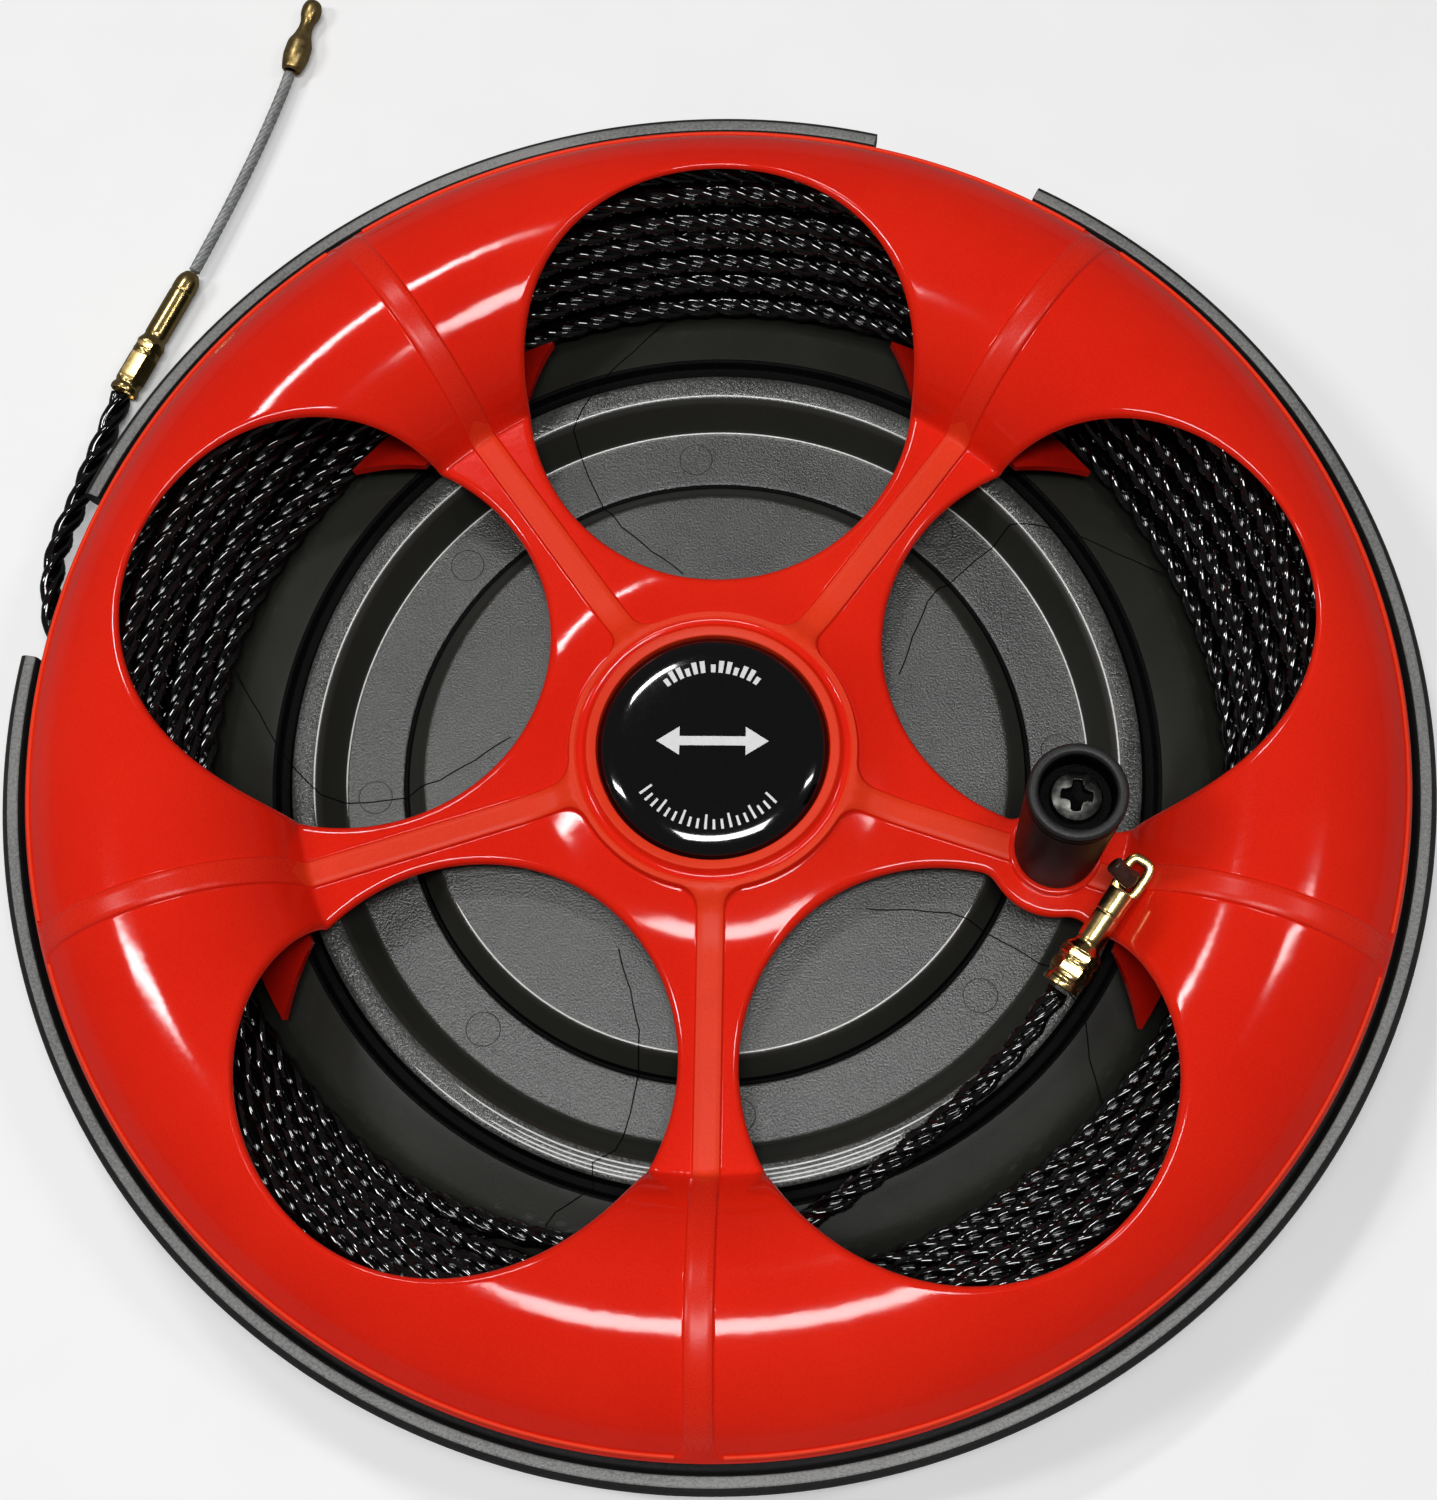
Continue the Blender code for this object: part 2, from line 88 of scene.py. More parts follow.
LEADER_ROUTE = (
    (-136.2, 133.3, 4.1), (-131.6, 144.6, 4.0), (-126.6, 157.6, 3.8), (-121.6, 171.8, 3.6),
    (-117.6, 184.6, 3.5), (-115.7, 191.6, 3.5),
)
TIP_FITTING = ((-115.5, 192.3, 3.5), (-110.5, 213.4, 3.4))


# --- camera ------------------------------------------------------------------------------------
def add_camera():
    rise, roll, turn = math.radians(72.89), math.radians(-6.42), math.radians(7.1)
    aim, distance = Vector((0.00121, -0.00045, 0.024)), 0.560
    forward = Vector((0.0, math.cos(rise), -math.sin(rise)))
    right = Vector((1.0, 0.0, 0.0))
    up = right.cross(forward)
    side = math.cos(roll) * right + math.sin(roll) * up
    top = -math.sin(roll) * right + math.cos(roll) * up
    place = aim - forward * distance
    spin = Matrix.Rotation(turn, 4, "Z")
    basis = Matrix((side, top, -forward)).transposed().to_4x4()
    data = bpy.data.cameras.new("camera")
    data.lens, data.sensor_width, data.sensor_fit = 58.27, 36.0, "AUTO"
    data.clip_start, data.clip_end = 0.01, 20.0
    camera = bpy.data.objects.new("camera", data)
    bpy.context.scene.collection.objects.link(camera)
    camera.matrix_world = spin @ Matrix.Translation(place) @ basis
    bpy.context.scene.camera = camera


add_camera()


# --- materials ---------------------------------------------------------------------------------
WAVE_SCALE, WAVE_STRENGTH, GRAIN_STRENGTH = 160.0, 0.35, 0.6
COAT_ROUGH = 0.05


def new_material(name):
    made = bpy.data.materials.new(name)
    made.use_nodes = True
    return made, made.node_tree, made.node_tree.nodes["Principled BSDF"]


def noise(tree, scale, detail, roughness=0.55):
    """A noise texture in the object's own metres."""
    coords = tree.nodes.new("ShaderNodeTexCoord")
    made = tree.nodes.new("ShaderNodeTexNoise")
    made.inputs["Scale"].default_value = scale
    made.inputs["Detail"].default_value = detail
    made.inputs["Roughness"].default_value = roughness
    tree.links.new(coords.outputs["Object"], made.inputs["Vector"])
    return made.outputs["Fac"]


def ramp(tree, source, stops):
    """The source's 0 to 1 turned into a colour by (place, colour) stops."""
    made = tree.nodes.new("ShaderNodeValToRGB")
    cells = made.color_ramp.elements
    while len(cells) < len(stops):
        cells.new(0.5)
    for cell, (place, colour) in zip(cells, stops):
        cell.position = place
        cell.color = (*colour, 1.0)
    tree.links.new(source, made.inputs["Fac"])
    return made.outputs["Color"]


def grey(level):
    return (level, level, level)


def bump(tree, shader, height, strength, distance, below=None):
    """Bump of `distance` metres on the shader's normal, over the bump `below` if there is one."""
    made = tree.nodes.new("ShaderNodeBump")
    made.inputs["Strength"].default_value = strength
    made.inputs["Distance"].default_value = distance
    tree.links.new(height, made.inputs["Height"])
    if below:
        tree.links.new(below, made.inputs["Normal"])
    tree.links.new(made.outputs["Normal"], shader.inputs["Normal"])
    return made.outputs["Normal"]


def finish(name, dark, light, rough, grain, relief, patch=18.0, coat=0.0, metallic=0.0,
           specular=0.5, wave=0.0):
    """Colour that wanders between two tones, roughness that wanders over its range, and fine grain.
    patch and grain are the scales of the two noises; relief and wave are heights of bumps."""
    made, tree, shader = new_material(name)
    cloud = noise(tree, patch, 4.0)
    fleck = noise(tree, grain, 2.0, 0.6)
    mix = tree.nodes.new("ShaderNodeMath")
    mix.operation = "MULTIPLY_ADD"
    tree.links.new(fleck, mix.inputs[0])
    mix.inputs[1].default_value = 0.5
    half = tree.nodes.new("ShaderNodeMath")
    half.operation = "MULTIPLY"
    half.inputs[1].default_value = 0.5
    tree.links.new(cloud, half.inputs[0])
    tree.links.new(half.outputs[0], mix.inputs[2])
    tone = ramp(tree, mix.outputs[0], ((0.36, dark), (0.64, light)))
    tree.links.new(tone, shader.inputs["Base Color"])
    dullness = ramp(tree, mix.outputs[0], ((0.35, grey(rough[0])), (0.65, grey(rough[1]))))
    tree.links.new(dullness, shader.inputs["Roughness"])
    below = None
    if wave:
        below = bump(tree, shader, noise(tree, WAVE_SCALE, 2.0), WAVE_STRENGTH, wave)
    if relief:
        bump(tree, shader, fleck, GRAIN_STRENGTH, relief, below)
    shader.inputs["Metallic"].default_value = metallic
    shader.inputs["Specular IOR Level"].default_value = specular
    shader.inputs["Coat Weight"].default_value = coat
    shader.inputs["Coat Roughness"].default_value = COAT_ROUGH
    return made


RED = finish("red_gloss", (0.78, 0.013, 0.004), (0.90, 0.022, 0.006),
             rough=(0.07, 0.12), grain=2600.0, relief=0.00001, wave=0.00012, specular=0.40)
RED_MATTE = finish("red_satin", (0.80, 0.036, 0.008), (0.92, 0.052, 0.014),
                   rough=(0.34, 0.44), grain=2800.0, relief=0.00005, specular=0.16)
RED_SOFT = finish("red_rib", (0.76, 0.018, 0.006), (0.88, 0.028, 0.009),
                  rough=(0.24, 0.32), grain=2800.0, relief=0.00004, specular=0.26)
# a darker copy of the wheel's red for the spoke legs: painted shade under the rim
RED_PAINTED_SHADE = finish("red_inner_painted_shade", (0.36, 0.005, 0.002), (0.46, 0.008, 0.003),
                   rough=(0.14, 0.22), grain=2600.0, relief=0.00002, specular=0.2)
PAN_GRAIN = finish("pan_grain", (0.008, 0.0088, 0.0068), (0.052, 0.0545, 0.049),
                   rough=(0.29, 0.38), grain=1900.0, relief=0.00034, patch=40.0, specular=0.95)
PAN_BAND = finish("pan_band", (0.024, 0.026, 0.023), (0.082, 0.085, 0.079),
                  rough=(0.20, 0.32), grain=1300.0, relief=0.00036, patch=40.0, specular=0.65)
# near-white tone for thin threads on the pan's ring edges: painted highlights
PAN_PAINTED_HIGHLIGHT = finish("pan_painted_highlight", (0.78, 0.78, 0.76), (0.92, 0.92, 0.90),
                  rough=(0.14, 0.22), grain=900.0, relief=0.00002, specular=1.0)
PAN_SMOOTH = finish("pan_smooth", (0.017, 0.0175, 0.014), (0.024, 0.0245, 0.020),
                    rough=(0.30, 0.42), grain=3000.0, relief=0.00002)
# near-black: the pan's dark seam lines, and painted shade in the pan's groove and foot corner, the
# knob's recess, the screw's cross and the crank washer
BLACK_SEAMS_AND_PAINTED_SHADE = finish("black_seams_and_painted_shade", grey(0.0005), grey(0.004),
                   rough=(0.5, 0.7), grain=1800.0, relief=0.0003, specular=0.06)
FLANGE = finish("flange_grain", (0.10, 0.104, 0.10), (0.26, 0.265, 0.255),
                rough=(0.30, 0.45), grain=1500.0, relief=0.00025)
# the flange's grey darkened on its walls, channel and underside: painted shade
FLANGE_PAINTED_SHADE = finish("flange_painted_shade", grey(0.012), grey(0.024),
                     rough=(0.3, 0.42), grain=1700.0, relief=0.0001)
TAPE = finish("tape_strands", (0.0008, 0.0008, 0.001), (0.002, 0.002, 0.0024),
              rough=(0.05, 0.09), grain=1400.0, relief=0.00001, patch=60.0, specular=1.0)
BLACK = finish("black_satin", grey(0.003), grey(0.007),
               rough=(0.42, 0.52), grain=2400.0, relief=0.00006, specular=0.07)
# the knob's top face: a grained finish, and its lighter tone than the black sides is painted top light
BLACK_GRAIN_LIT_TOP = finish("black_grain_painted_top_light", grey(0.014), grey(0.034),
                   rough=(0.4, 0.52), grain=2400.0, relief=0.00012, specular=0.4)
BADGE = finish("badge_gloss", (0.001, 0.001, 0.0015), (0.002, 0.002, 0.003),
               rough=(0.06, 0.1), grain=900.0, relief=0.0, coat=1.0)
MARK = finish("badge_mark", grey(0.76), grey(0.84),
              rough=(0.35, 0.45), grain=900.0, relief=0.0)
BRASS = finish("brass", (0.60, 0.42, 0.15), (0.78, 0.58, 0.26),
               rough=(0.20, 0.28), grain=700.0, relief=0.0, patch=90.0, metallic=1.0)
BRASS_DULL = finish("brass_tip", (0.40, 0.27, 0.10), (0.62, 0.46, 0.20),
                    rough=(0.28, 0.42), grain=900.0, relief=0.00004, patch=200.0, metallic=1.0)
WIRE = finish("steel_strands", (0.22, 0.23, 0.225), (0.40, 0.41, 0.40),
              rough=(0.40, 0.52), grain=1200.0, relief=0.00002, patch=300.0, metallic=0.35)
ZINC = finish("zinc_plate", (0.50, 0.50, 0.51), (0.66, 0.66, 0.67),
              rough=(0.26, 0.4), grain=900.0, relief=0.00002, metallic=1.0)
DARK_STEEL = finish("dark_steel", (0.045, 0.045, 0.042), (0.14, 0.14, 0.13),
                    rough=(0.26, 0.40), grain=900.0, relief=0.00003, patch=260.0, metallic=1.0)
BRONZE = finish("sintered_bronze", (0.34, 0.22, 0.11), (0.50, 0.35, 0.20),
                rough=(0.4, 0.55), grain=2200.0, relief=0.00006, metallic=1.0)
NYLON = finish("white_nylon", (0.62, 0.60, 0.53), (0.74, 0.72, 0.66),
               rough=(0.4, 0.5), grain=1200.0, relief=0.00002)
PEG_BROWN = finish("peg_brown", (0.030, 0.012, 0.009), (0.075, 0.032, 0.024),
                   rough=(0.12, 0.22), grain=500.0, relief=0.0)
FLOOR = finish("floor_pale", grey(0.95), grey(0.98),
               rough=(0.75, 0.85), grain=30.0, relief=0.0, patch=2.0)


def soften_floor(made, kept, lift):
    """Glossy surfaces see only `kept` of the floor's tone, and the camera sees it lifted to white."""
    tree = made.node_tree
    shader = tree.nodes["Principled BSDF"]
    path = tree.nodes.new("ShaderNodeLightPath")
    share = tree.nodes.new("ShaderNodeMath")
    share.operation = "MULTIPLY_ADD"
    tree.links.new(path.outputs["Is Glossy Ray"], share.inputs[0])
    share.inputs[1].default_value = kept - 1.0
    share.inputs[2].default_value = 1.0
    scaled = tree.nodes.new("ShaderNodeVectorMath")
    scaled.operation = "SCALE"
    tree.links.new(shader.inputs["Base Color"].links[0].from_socket, scaled.inputs[0])
    tree.links.new(share.outputs[0], scaled.inputs["Scale"])
    tree.links.new(scaled.outputs[0], shader.inputs["Base Color"])
    glow = tree.nodes.new("ShaderNodeMath")
    glow.operation = "MULTIPLY"
    tree.links.new(path.outputs["Is Camera Ray"], glow.inputs[0])
    glow.inputs[1].default_value = lift
    shader.inputs["Emission Color"].default_value = (1.0, 1.0, 1.0, 1.0)
    tree.links.new(glow.outputs[0], shader.inputs["Emission Strength"])


soften_floor(FLOOR, 0.12, 0.10)


# --- mesh makers -------------------------------------------------------------------------------
def mesh_object(name, points, faces, materials, picks=None, sharp=38.0):
    """Points in millimetres; picks is each face's material index, sharp the least angle of an edge."""
    mesh = bpy.data.meshes.new(name)
    metres = np.asarray(points, float) * 0.001
    mesh.from_pydata(metres.tolist(), [], [tuple(map(int, face)) for face in faces])
    for used in materials:
        mesh.materials.append(used)
    if picks is not None:
        mesh.polygons.foreach_set("material_index", np.asarray(picks, np.int32))
    mesh.shade_smooth()
    mesh.update()
    if sharp:
        mesh.set_sharp_from_angle(angle=math.radians(sharp))
    made = bpy.data.objects.new(name, mesh)
    bpy.context.scene.collection.objects.link(made)
    return made


def quads(rows, columns, wrap_rows=False, wrap_columns=False):
    """Faces of a grid of points stored row by row."""
    i = np.arange(rows if wrap_rows else rows - 1)[:, None]
    j = np.arange(columns if wrap_columns else columns - 1)[None, :]
    a = i * columns + j
    b = i * columns + (j + 1) % columns
    c = ((i + 1) % rows) * columns + (j + 1) % columns
    d = ((i + 1) % rows) * columns + j
    return np.stack([a + 0 * j, b + 0 * i, c, d + 0 * j], axis=-1).reshape(-1, 4)


def rounded(profile, steps=4):
    """A profile of (radius, z, corner size) with each corner turned into a short curve."""
    flat = []
    for k, (r, z, size) in enumerate(profile):
        here = np.array([r, z])
        if size and 0 < k < len(profile) - 1:
            before = np.array(profile[k - 1][:2]) - here
            after = np.array(profile[k + 1][:2]) - here
            one = here + before * min(0.48, size / np.linalg.norm(before))
            two = here + after * min(0.48, size / np.linalg.norm(after))
            for t in np.linspace(0.0, 1.0, steps + 1):
                flat.append((1 - t) ** 2 * one + 2 * t * (1 - t) * here + t**2 * two)
        else:
            flat.append(here)
    return np.array(flat)


def dense(profile, longest):
    """The same profile with no run longer than `longest`."""
    out = [profile[0]]
    for a, b in zip(profile, profile[1:]):
        parts = max(1, math.ceil(np.linalg.norm(b - a) / longest))
        out.extend(a + (b - a) * t for t in np.linspace(0, 1, parts + 1)[1:])
    return np.array(out)


def lathe(name, profile, materials, steps=96, closed=False, pick=None, at=(0, 0, 0), along=None,
          span=None, shape=None, sharp=38.0):
    """A profile of (radius, z) turned about Z, or about `along` from `at`. span limits the turn in
    degrees and caps the ends; pick(radius, z) gives a face's material; shape bends the radius."""
    profile = np.asarray(profile, float)
    full = span is None
    first, last = (0.0, 360.0) if full else span
    angles = np.radians(np.linspace(first, last, steps + (0 if full else 1), endpoint=not full))
    radius, height = profile[:, 0][None, :], profile[:, 1][None, :]
    swing = angles[:, None]
    reach = radius * (shape(swing, height) if shape else np.ones_like(swing))
    points = np.stack([reach * np.cos(swing), reach * np.sin(swing), height + 0 * reach], axis=-1)
    count = len(profile)
    faces = quads(len(angles), count, wrap_rows=full, wrap_columns=closed)[:, ::-1]
    middle = profile[faces[:, 0] % count] * 0.5 + profile[faces[:, 1] % count] * 0.5
    points = points.reshape(-1, 3)
    picks = None if pick is None else [pick(r, z) for r, z in middle]
    faces = faces.tolist()
    if not full:
        faces.append(list(range(count)))
        faces.append(list(range((len(angles) - 1) * count, len(angles) * count))[::-1])
        if picks is not None:
            picks += [0, 0]
    if along is not None:
        axis = Vector(along).normalized()
        turn = np.array(axis.to_track_quat("Z", "Y").to_matrix())
        points = points @ turn.T
    points = points + np.asarray(at, float)
    return mesh_object(name, points, faces, materials, picks, sharp)


def smooth_route(points, spacing):
    """Points every `spacing` along the Catmull-Rom curve through the route's own points."""
    knots = np.array(points, float)
    knots = np.vstack([2 * knots[0] - knots[1], knots, 2 * knots[-1] - knots[-2]])
    fine = []
    for a, b, c, d in zip(knots, knots[1:], knots[2:], knots[3:]):
        for t in np.linspace(0.0, 1.0, 40, endpoint=False):
            fine.append(0.5 * (2 * b + (c - a) * t + (2 * a - 5 * b + 4 * c - d) * t**2
                               + (3 * b - a - 3 * c + d) * t**3))
    fine.append(knots[-2])
    return evenly(np.array(fine), spacing)


def run_along(points):
    """Distance along the points, from 0 at the first."""
    return np.concatenate([[0.0], np.cumsum(np.linalg.norm(np.diff(points, axis=0), axis=1))])


def evenly(points, spacing):
    """The same line as points about `spacing` apart."""
    along = run_along(points)
    wanted = np.linspace(0.0, along[-1], max(3, round(along[-1] / spacing) + 1))
    return np.stack([np.interp(wanted, along, points[:, k]) for k in range(3)], axis=1)


def strand_section(strands, radius, per_strand, shallow=1.0):
    """(angle, distance) pairs around the outline of touching round strands laid side by side;
    shallow is the share of the grooves' depth that is kept."""
    out = []
    share = math.pi / strands
    strand = radius / (1 + 1 / math.sin(share))
    centre = strand / math.sin(share)
    for k in range(strands):
        for j in range(per_strand):
            off = share * (2 * j / per_strand - 1)
            # squeeze the samples towards the grooves, where the outline turns fastest
            off = share * math.sin(off / share * math.pi / 2)
            chord = math.sqrt(max(strand**2 - (centre * math.sin(off)) ** 2, 0.0))
            reach = centre * math.cos(off) + chord
            out.append((2 * share * k + off, radius - (radius - reach) * shallow))
    return np.array(out)


def twisted(name, path, radius, pitch, used, strands=3, per_strand=6, shallow=1.0):
    """Strands twisted right-handed about a path of evenly spaced points, capped at both ends."""
    ahead = np.gradient(path, axis=0)
    ahead /= np.linalg.norm(ahead, axis=1)[:, None]
    up = np.array([0.0, 0.0, 1.0]) - ahead * ahead[:, 2:3]
    up /= np.linalg.norm(up, axis=1)[:, None]
    side = np.cross(ahead, up)
    section = strand_section(strands, radius, per_strand, shallow)
    angle = section[:, 0][None, :] + (2 * math.pi * run_along(path) / pitch)[:, None]
    reach = section[:, 1][None, :, None]
    points = path[:, None, :] + reach * (np.cos(angle)[:, :, None] * up[:, None, :]
                                         + np.sin(angle)[:, :, None] * side[:, None, :])
    count = len(section)
    faces = quads(len(path), count, wrap_columns=True).tolist()
    faces.append(list(range(count))[::-1])
    faces.append(list(range((len(path) - 1) * count, len(path) * count)))
    return mesh_object(name, points.reshape(-1, 3), faces, [used], sharp=None)


def thread(name, lines, radius, used, closed=False):
    """Thin round threads along one or more lines, in one mesh."""
    points, faces, base = [], [], 0
    for line in lines:
        ahead = np.gradient(line, axis=0)
        if closed:
            ahead = np.roll(line, -1, axis=0) - np.roll(line, 1, axis=0)
        ahead /= np.linalg.norm(ahead, axis=1)[:, None]
        side = np.cross(ahead, np.array([0.0, 0.0, 1.0]))
        side /= np.linalg.norm(side, axis=1)[:, None]
        up = np.cross(side, ahead)
        angle = np.linspace(0, 2 * math.pi, 6, endpoint=False)
        ring = (line[:, None, :] + radius * (np.cos(angle)[None, :, None] * side[:, None, :]
                                             + np.sin(angle)[None, :, None] * up[:, None, :]))
        points.append(ring.reshape(-1, 3))
        faces.append(quads(len(line), 6, wrap_rows=closed, wrap_columns=True)[:, ::-1] + base)
        base += len(line) * 6
    return mesh_object(name, np.vstack(points), np.vstack(faces), [used], sharp=None)


def height_at(radius, profile):
    """Height at a radius of a profile whose radii only grow."""
    return float(np.interp(radius, [spot[0] for spot in profile], [spot[1] for spot in profile]))


def smin(a, b, k):
    """The smaller of a and b, rounded over where they are less than k apart."""
    share = np.clip(0.5 + 0.5 * (b - a) / k, 0.0, 1.0)
    return b * (1 - share) + a * share - k * share * (1 - share)


def ease(x):
    """0 below 0, 1 above 1, and a smooth step between them."""
    x = np.clip(x, 0.0, 1.0)
    return x * x * (3 - 2 * x)


# --- the tape: winding with its tail, and the lead ---------------------------------------------
def winding_path():
    """Turns sprung outwards into slanting rows, laid from the inner row out, with the tail first."""
    turns = []
    for row, (count, way) in enumerate(WINDING_ROWS):
        line = [(FIRST_R + ROW_OUT * row + TURN_OUT * k, FIRST_Z - ROW_DOWN * row + TURN_UP * k)
                for k in range(count)]
        turns += line[::way]
    ends = np.array([(min(r, WINDING_R), z) for r, z in turns] + [(WINDING_R, WINDING_END_Z)])
    steps = 180
    theta0 = math.radians(TAIL_ANGLE + TAIL_SWEEP)
    out = []
    for k, (here, there) in enumerate(zip(ends, ends[1:])):
        for j in range(steps):
            share = j / steps
            swing = theta0 - 2 * math.pi * (k + share)
            cross = ease((share - 0.80) / 0.2)  # the last fifth crosses to the next turn
            r = here[0] + (there[0] - here[0]) * cross
            z = here[1] + (there[1] - here[1]) * cross
            turn = 2 * math.pi * share
            calm = min(1.0, min(share, 1 - share) * 12)
            r += calm * (0.50 * math.sin(2 * turn + 1.7 * k) + 0.30 * math.sin(5 * turn + 2.9 * k))
            z += calm * (0.45 * math.sin(3 * turn + 2.3 * k) + 0.30 * math.sin(7 * turn + 0.7 * k))
            if k < 2:
                off = (math.degrees(swing) - PRESSED_ANGLE + 180.0) % 360.0 - 180.0
                r -= PRESSED_IN * math.exp(-(off / 15.0) ** 2)
            r = min(r, WINDING_R, TORUS_R + math.sqrt(max(RIM_BORE**2 - (z - TORUS_Z) ** 2, 0.0)))
            out.append((r * math.cos(swing), r * math.sin(swing), max(z, WINDING_LOW)))
    last = theta0 - 2 * math.pi * (len(ends) - 1)
    for swing in np.linspace(last, last - math.radians(35), 16):
        out.append((ends[-1][0] * math.cos(swing), ends[-1][0] * math.sin(swing), ends[-1][1]))
    tail = smooth_route(TAIL_ROUTE, 3.0)[::-1]
    join = []
    for share in np.linspace(0.0, 1.0, 26)[1:-1]:
        swing = math.radians(TAIL_ANGLE + TAIL_SWEEP * share)
        r = TAIL_R + (ends[0][0] - TAIL_R) * ease(share)
        z = TAIL_Z + (ends[0][1] - TAIL_Z) * share
        join.append((r * math.cos(swing), r * math.sin(swing), z))
    return evenly(np.vstack([tail, join, out]), 1.95)


def add_tape():
    path = winding_path()
    wound = twisted("wound_tape", path, TAPE_D / 2, TAPE_PITCH, TAPE)
    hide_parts("tape_winding", "tape_tail")
    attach(wound, "wheel")
    add_tail_fitting()

    path = smooth_route(LEAD_ROUTE, 0.9)
    lead = twisted("lead_tape", path, TAPE_D / 2, TAPE_PITCH, TAPE, per_strand=10)
    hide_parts("tape_lead")
    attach(lead, "base")
    sleeve = crimped_sleeve("outer_sleeve", *LEAD_FITTING, crimp=3.95, shank=3.05)
    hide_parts("lead_sleeve")
    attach(sleeve, "base")

    path = smooth_route(LEADER_ROUTE, 0.45)
    leader = twisted("leader_rope", path, LEADER_D / 2, LEADER_PITCH, WIRE, strands=6, shallow=0.45)
    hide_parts("leader_wire")
    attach(leader, "base")
    tip = brass_tip()


def crimped_sleeve(name, start, end, crimp, shank, blunt=False):
    """A brass ferrule: flared mouth, hexagonal crimps, waist, smooth shank, groove and round nose."""
    long = (Vector(end) - Vector(start)).length
    mouth = long * 0.44
    profile = rounded([
        (TAPE_D / 2 - 0.5, 2.5, 0), (TAPE_D / 2 + 0.1, 0.0, 0.2), (crimp - 0.35, 0.1, 0.3),
        (crimp - 0.3, 1.3, 0.4), (crimp - 0.75, 2.0, 0.4), (crimp - 0.7, 2.5, 0.3), (crimp, 3.4, 0.6),
        (crimp, mouth - 5.4, 0.6), (crimp - 0.5, mouth - 4.7, 0.4), (crimp - 0.5, mouth - 4.4, 0.4),
        (crimp - 0.05, mouth - 3.7, 0.5), (crimp - 0.15, mouth - 1.9, 0.6), (shank, mouth - 0.2, 0.7),
        (shank - 0.2, mouth + 0.5, 0.4), (shank, mouth + 1.2, 0.4), (shank, long - 6.4, 0.3),
        (shank - 0.16, long - 6.2, 0.1), (shank - 0.16, long - 5.9, 0.1), (shank, long - 5.7, 0.3),
    ] + ([(shank, long, 0.4), (shank * 0.8, long, 0.1)] if blunt else
         [(shank, long - 2.4, 1.6), (shank * 0.62, long - 0.3, 0.9), (shank * 0.42, long, 0.2)])
        + [(0.02, long, 0)], 5)
    profile = dense(profile, 0.7)

    def flats(swing, height):
        zone = ease((height - 2.6) / 0.8) * ease((mouth - 4.6 - height) / 0.8)
        zone = zone + ease((height - mouth + 4.3) / 0.7) * ease((mouth - 1.6 - height) / 0.7)
        hexagon = math.cos(math.pi / 6) / np.cos(np.mod(swing, math.pi / 3) - math.pi / 6)
        return 1.0 - zone * (1.0 - hexagon) * 0.85
    return lathe(name, profile, [BRASS], steps=84, at=start, along=Vector(end) - Vector(start),
                 shape=flats, sharp=50.0)


def brass_tip():
    start, end = TIP_FITTING
    long = (Vector(end) - Vector(start)).length
    profile = rounded([
        (1.45, 1.2, 0), (1.6, 0.0, 0.2), (2.5, 0.2, 0.5), (3.0, 2.2, 0.8), (3.4, 4.4, 1.0),
        (3.3, 8.4, 0.8), (2.3, 10.8, 1.0), (1.8, 13.2, 1.0), (1.85, 15.2, 1.0), (2.55, 17.2, 1.0),
        (2.65, 19.4, 0.8), (2.0, long - 0.5, 0.7), (0.9, long, 0.5), (0.02, long, 0),
    ], 6)
    made = lathe("tip_fitting", dense(profile, 0.5), [BRASS_DULL], steps=56, at=start,
                 along=Vector(end) - Vector(start))
    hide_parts("leader_tip")
    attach(made, "base")
    return made


def squared(value, power):
    """A sine or cosine pushed out, so that an ellipse drawn with it has squarer corners."""
    return math.copysign(abs(value) ** power, value)


def add_tail_fitting():
    """Sleeve and loop of the tape's inner end."""
    start = Vector(TAIL_SLEEVE)
    peg = Vector((*PEG, EYE_Z))
    pull = (peg - start).normalized()
    end = peg - pull * 5.5 + pull * 1.6
    sleeve = crimped_sleeve("inner_sleeve", tuple(start), tuple(end), crimp=4.8, shank=3.2, blunt=True)
    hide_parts("tail_sleeve")
    across = pull.cross(Vector((0, 0, 1))).normalized()
    up = across.cross(pull)
    middle = peg - pull * 0.1 + across * 0.1
    half_long, half_wide = 4.3, 2.5
    around, corners = 56, 16
    points = []
    section = [(1.15 * squared(math.cos(a), 0.6), 0.95 * squared(math.sin(a), 0.6))
               for a in np.linspace(0, 2 * math.pi, corners, endpoint=False)]
    for a in np.linspace(0, 2 * math.pi, around, endpoint=False):
        c, s = math.cos(a), math.sin(a)
        here = middle + pull * half_long * squared(c, 0.52) + across * half_wide * squared(s, 0.52)
        out = (pull * (c / half_long) + across * (s / half_wide)).normalized()
        points += [tuple(here + out * u + up * v) for u, v in section]
    faces = quads(around, corners, wrap_rows=True, wrap_columns=True)
    loop = mesh_object("inner_loop", points, faces, [BRASS], sharp=60.0)
    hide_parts("tail_eyelet")
    for piece in (sleeve, loop):
        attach(piece, "wheel")
    return [sleeve, loop]


add_tape()


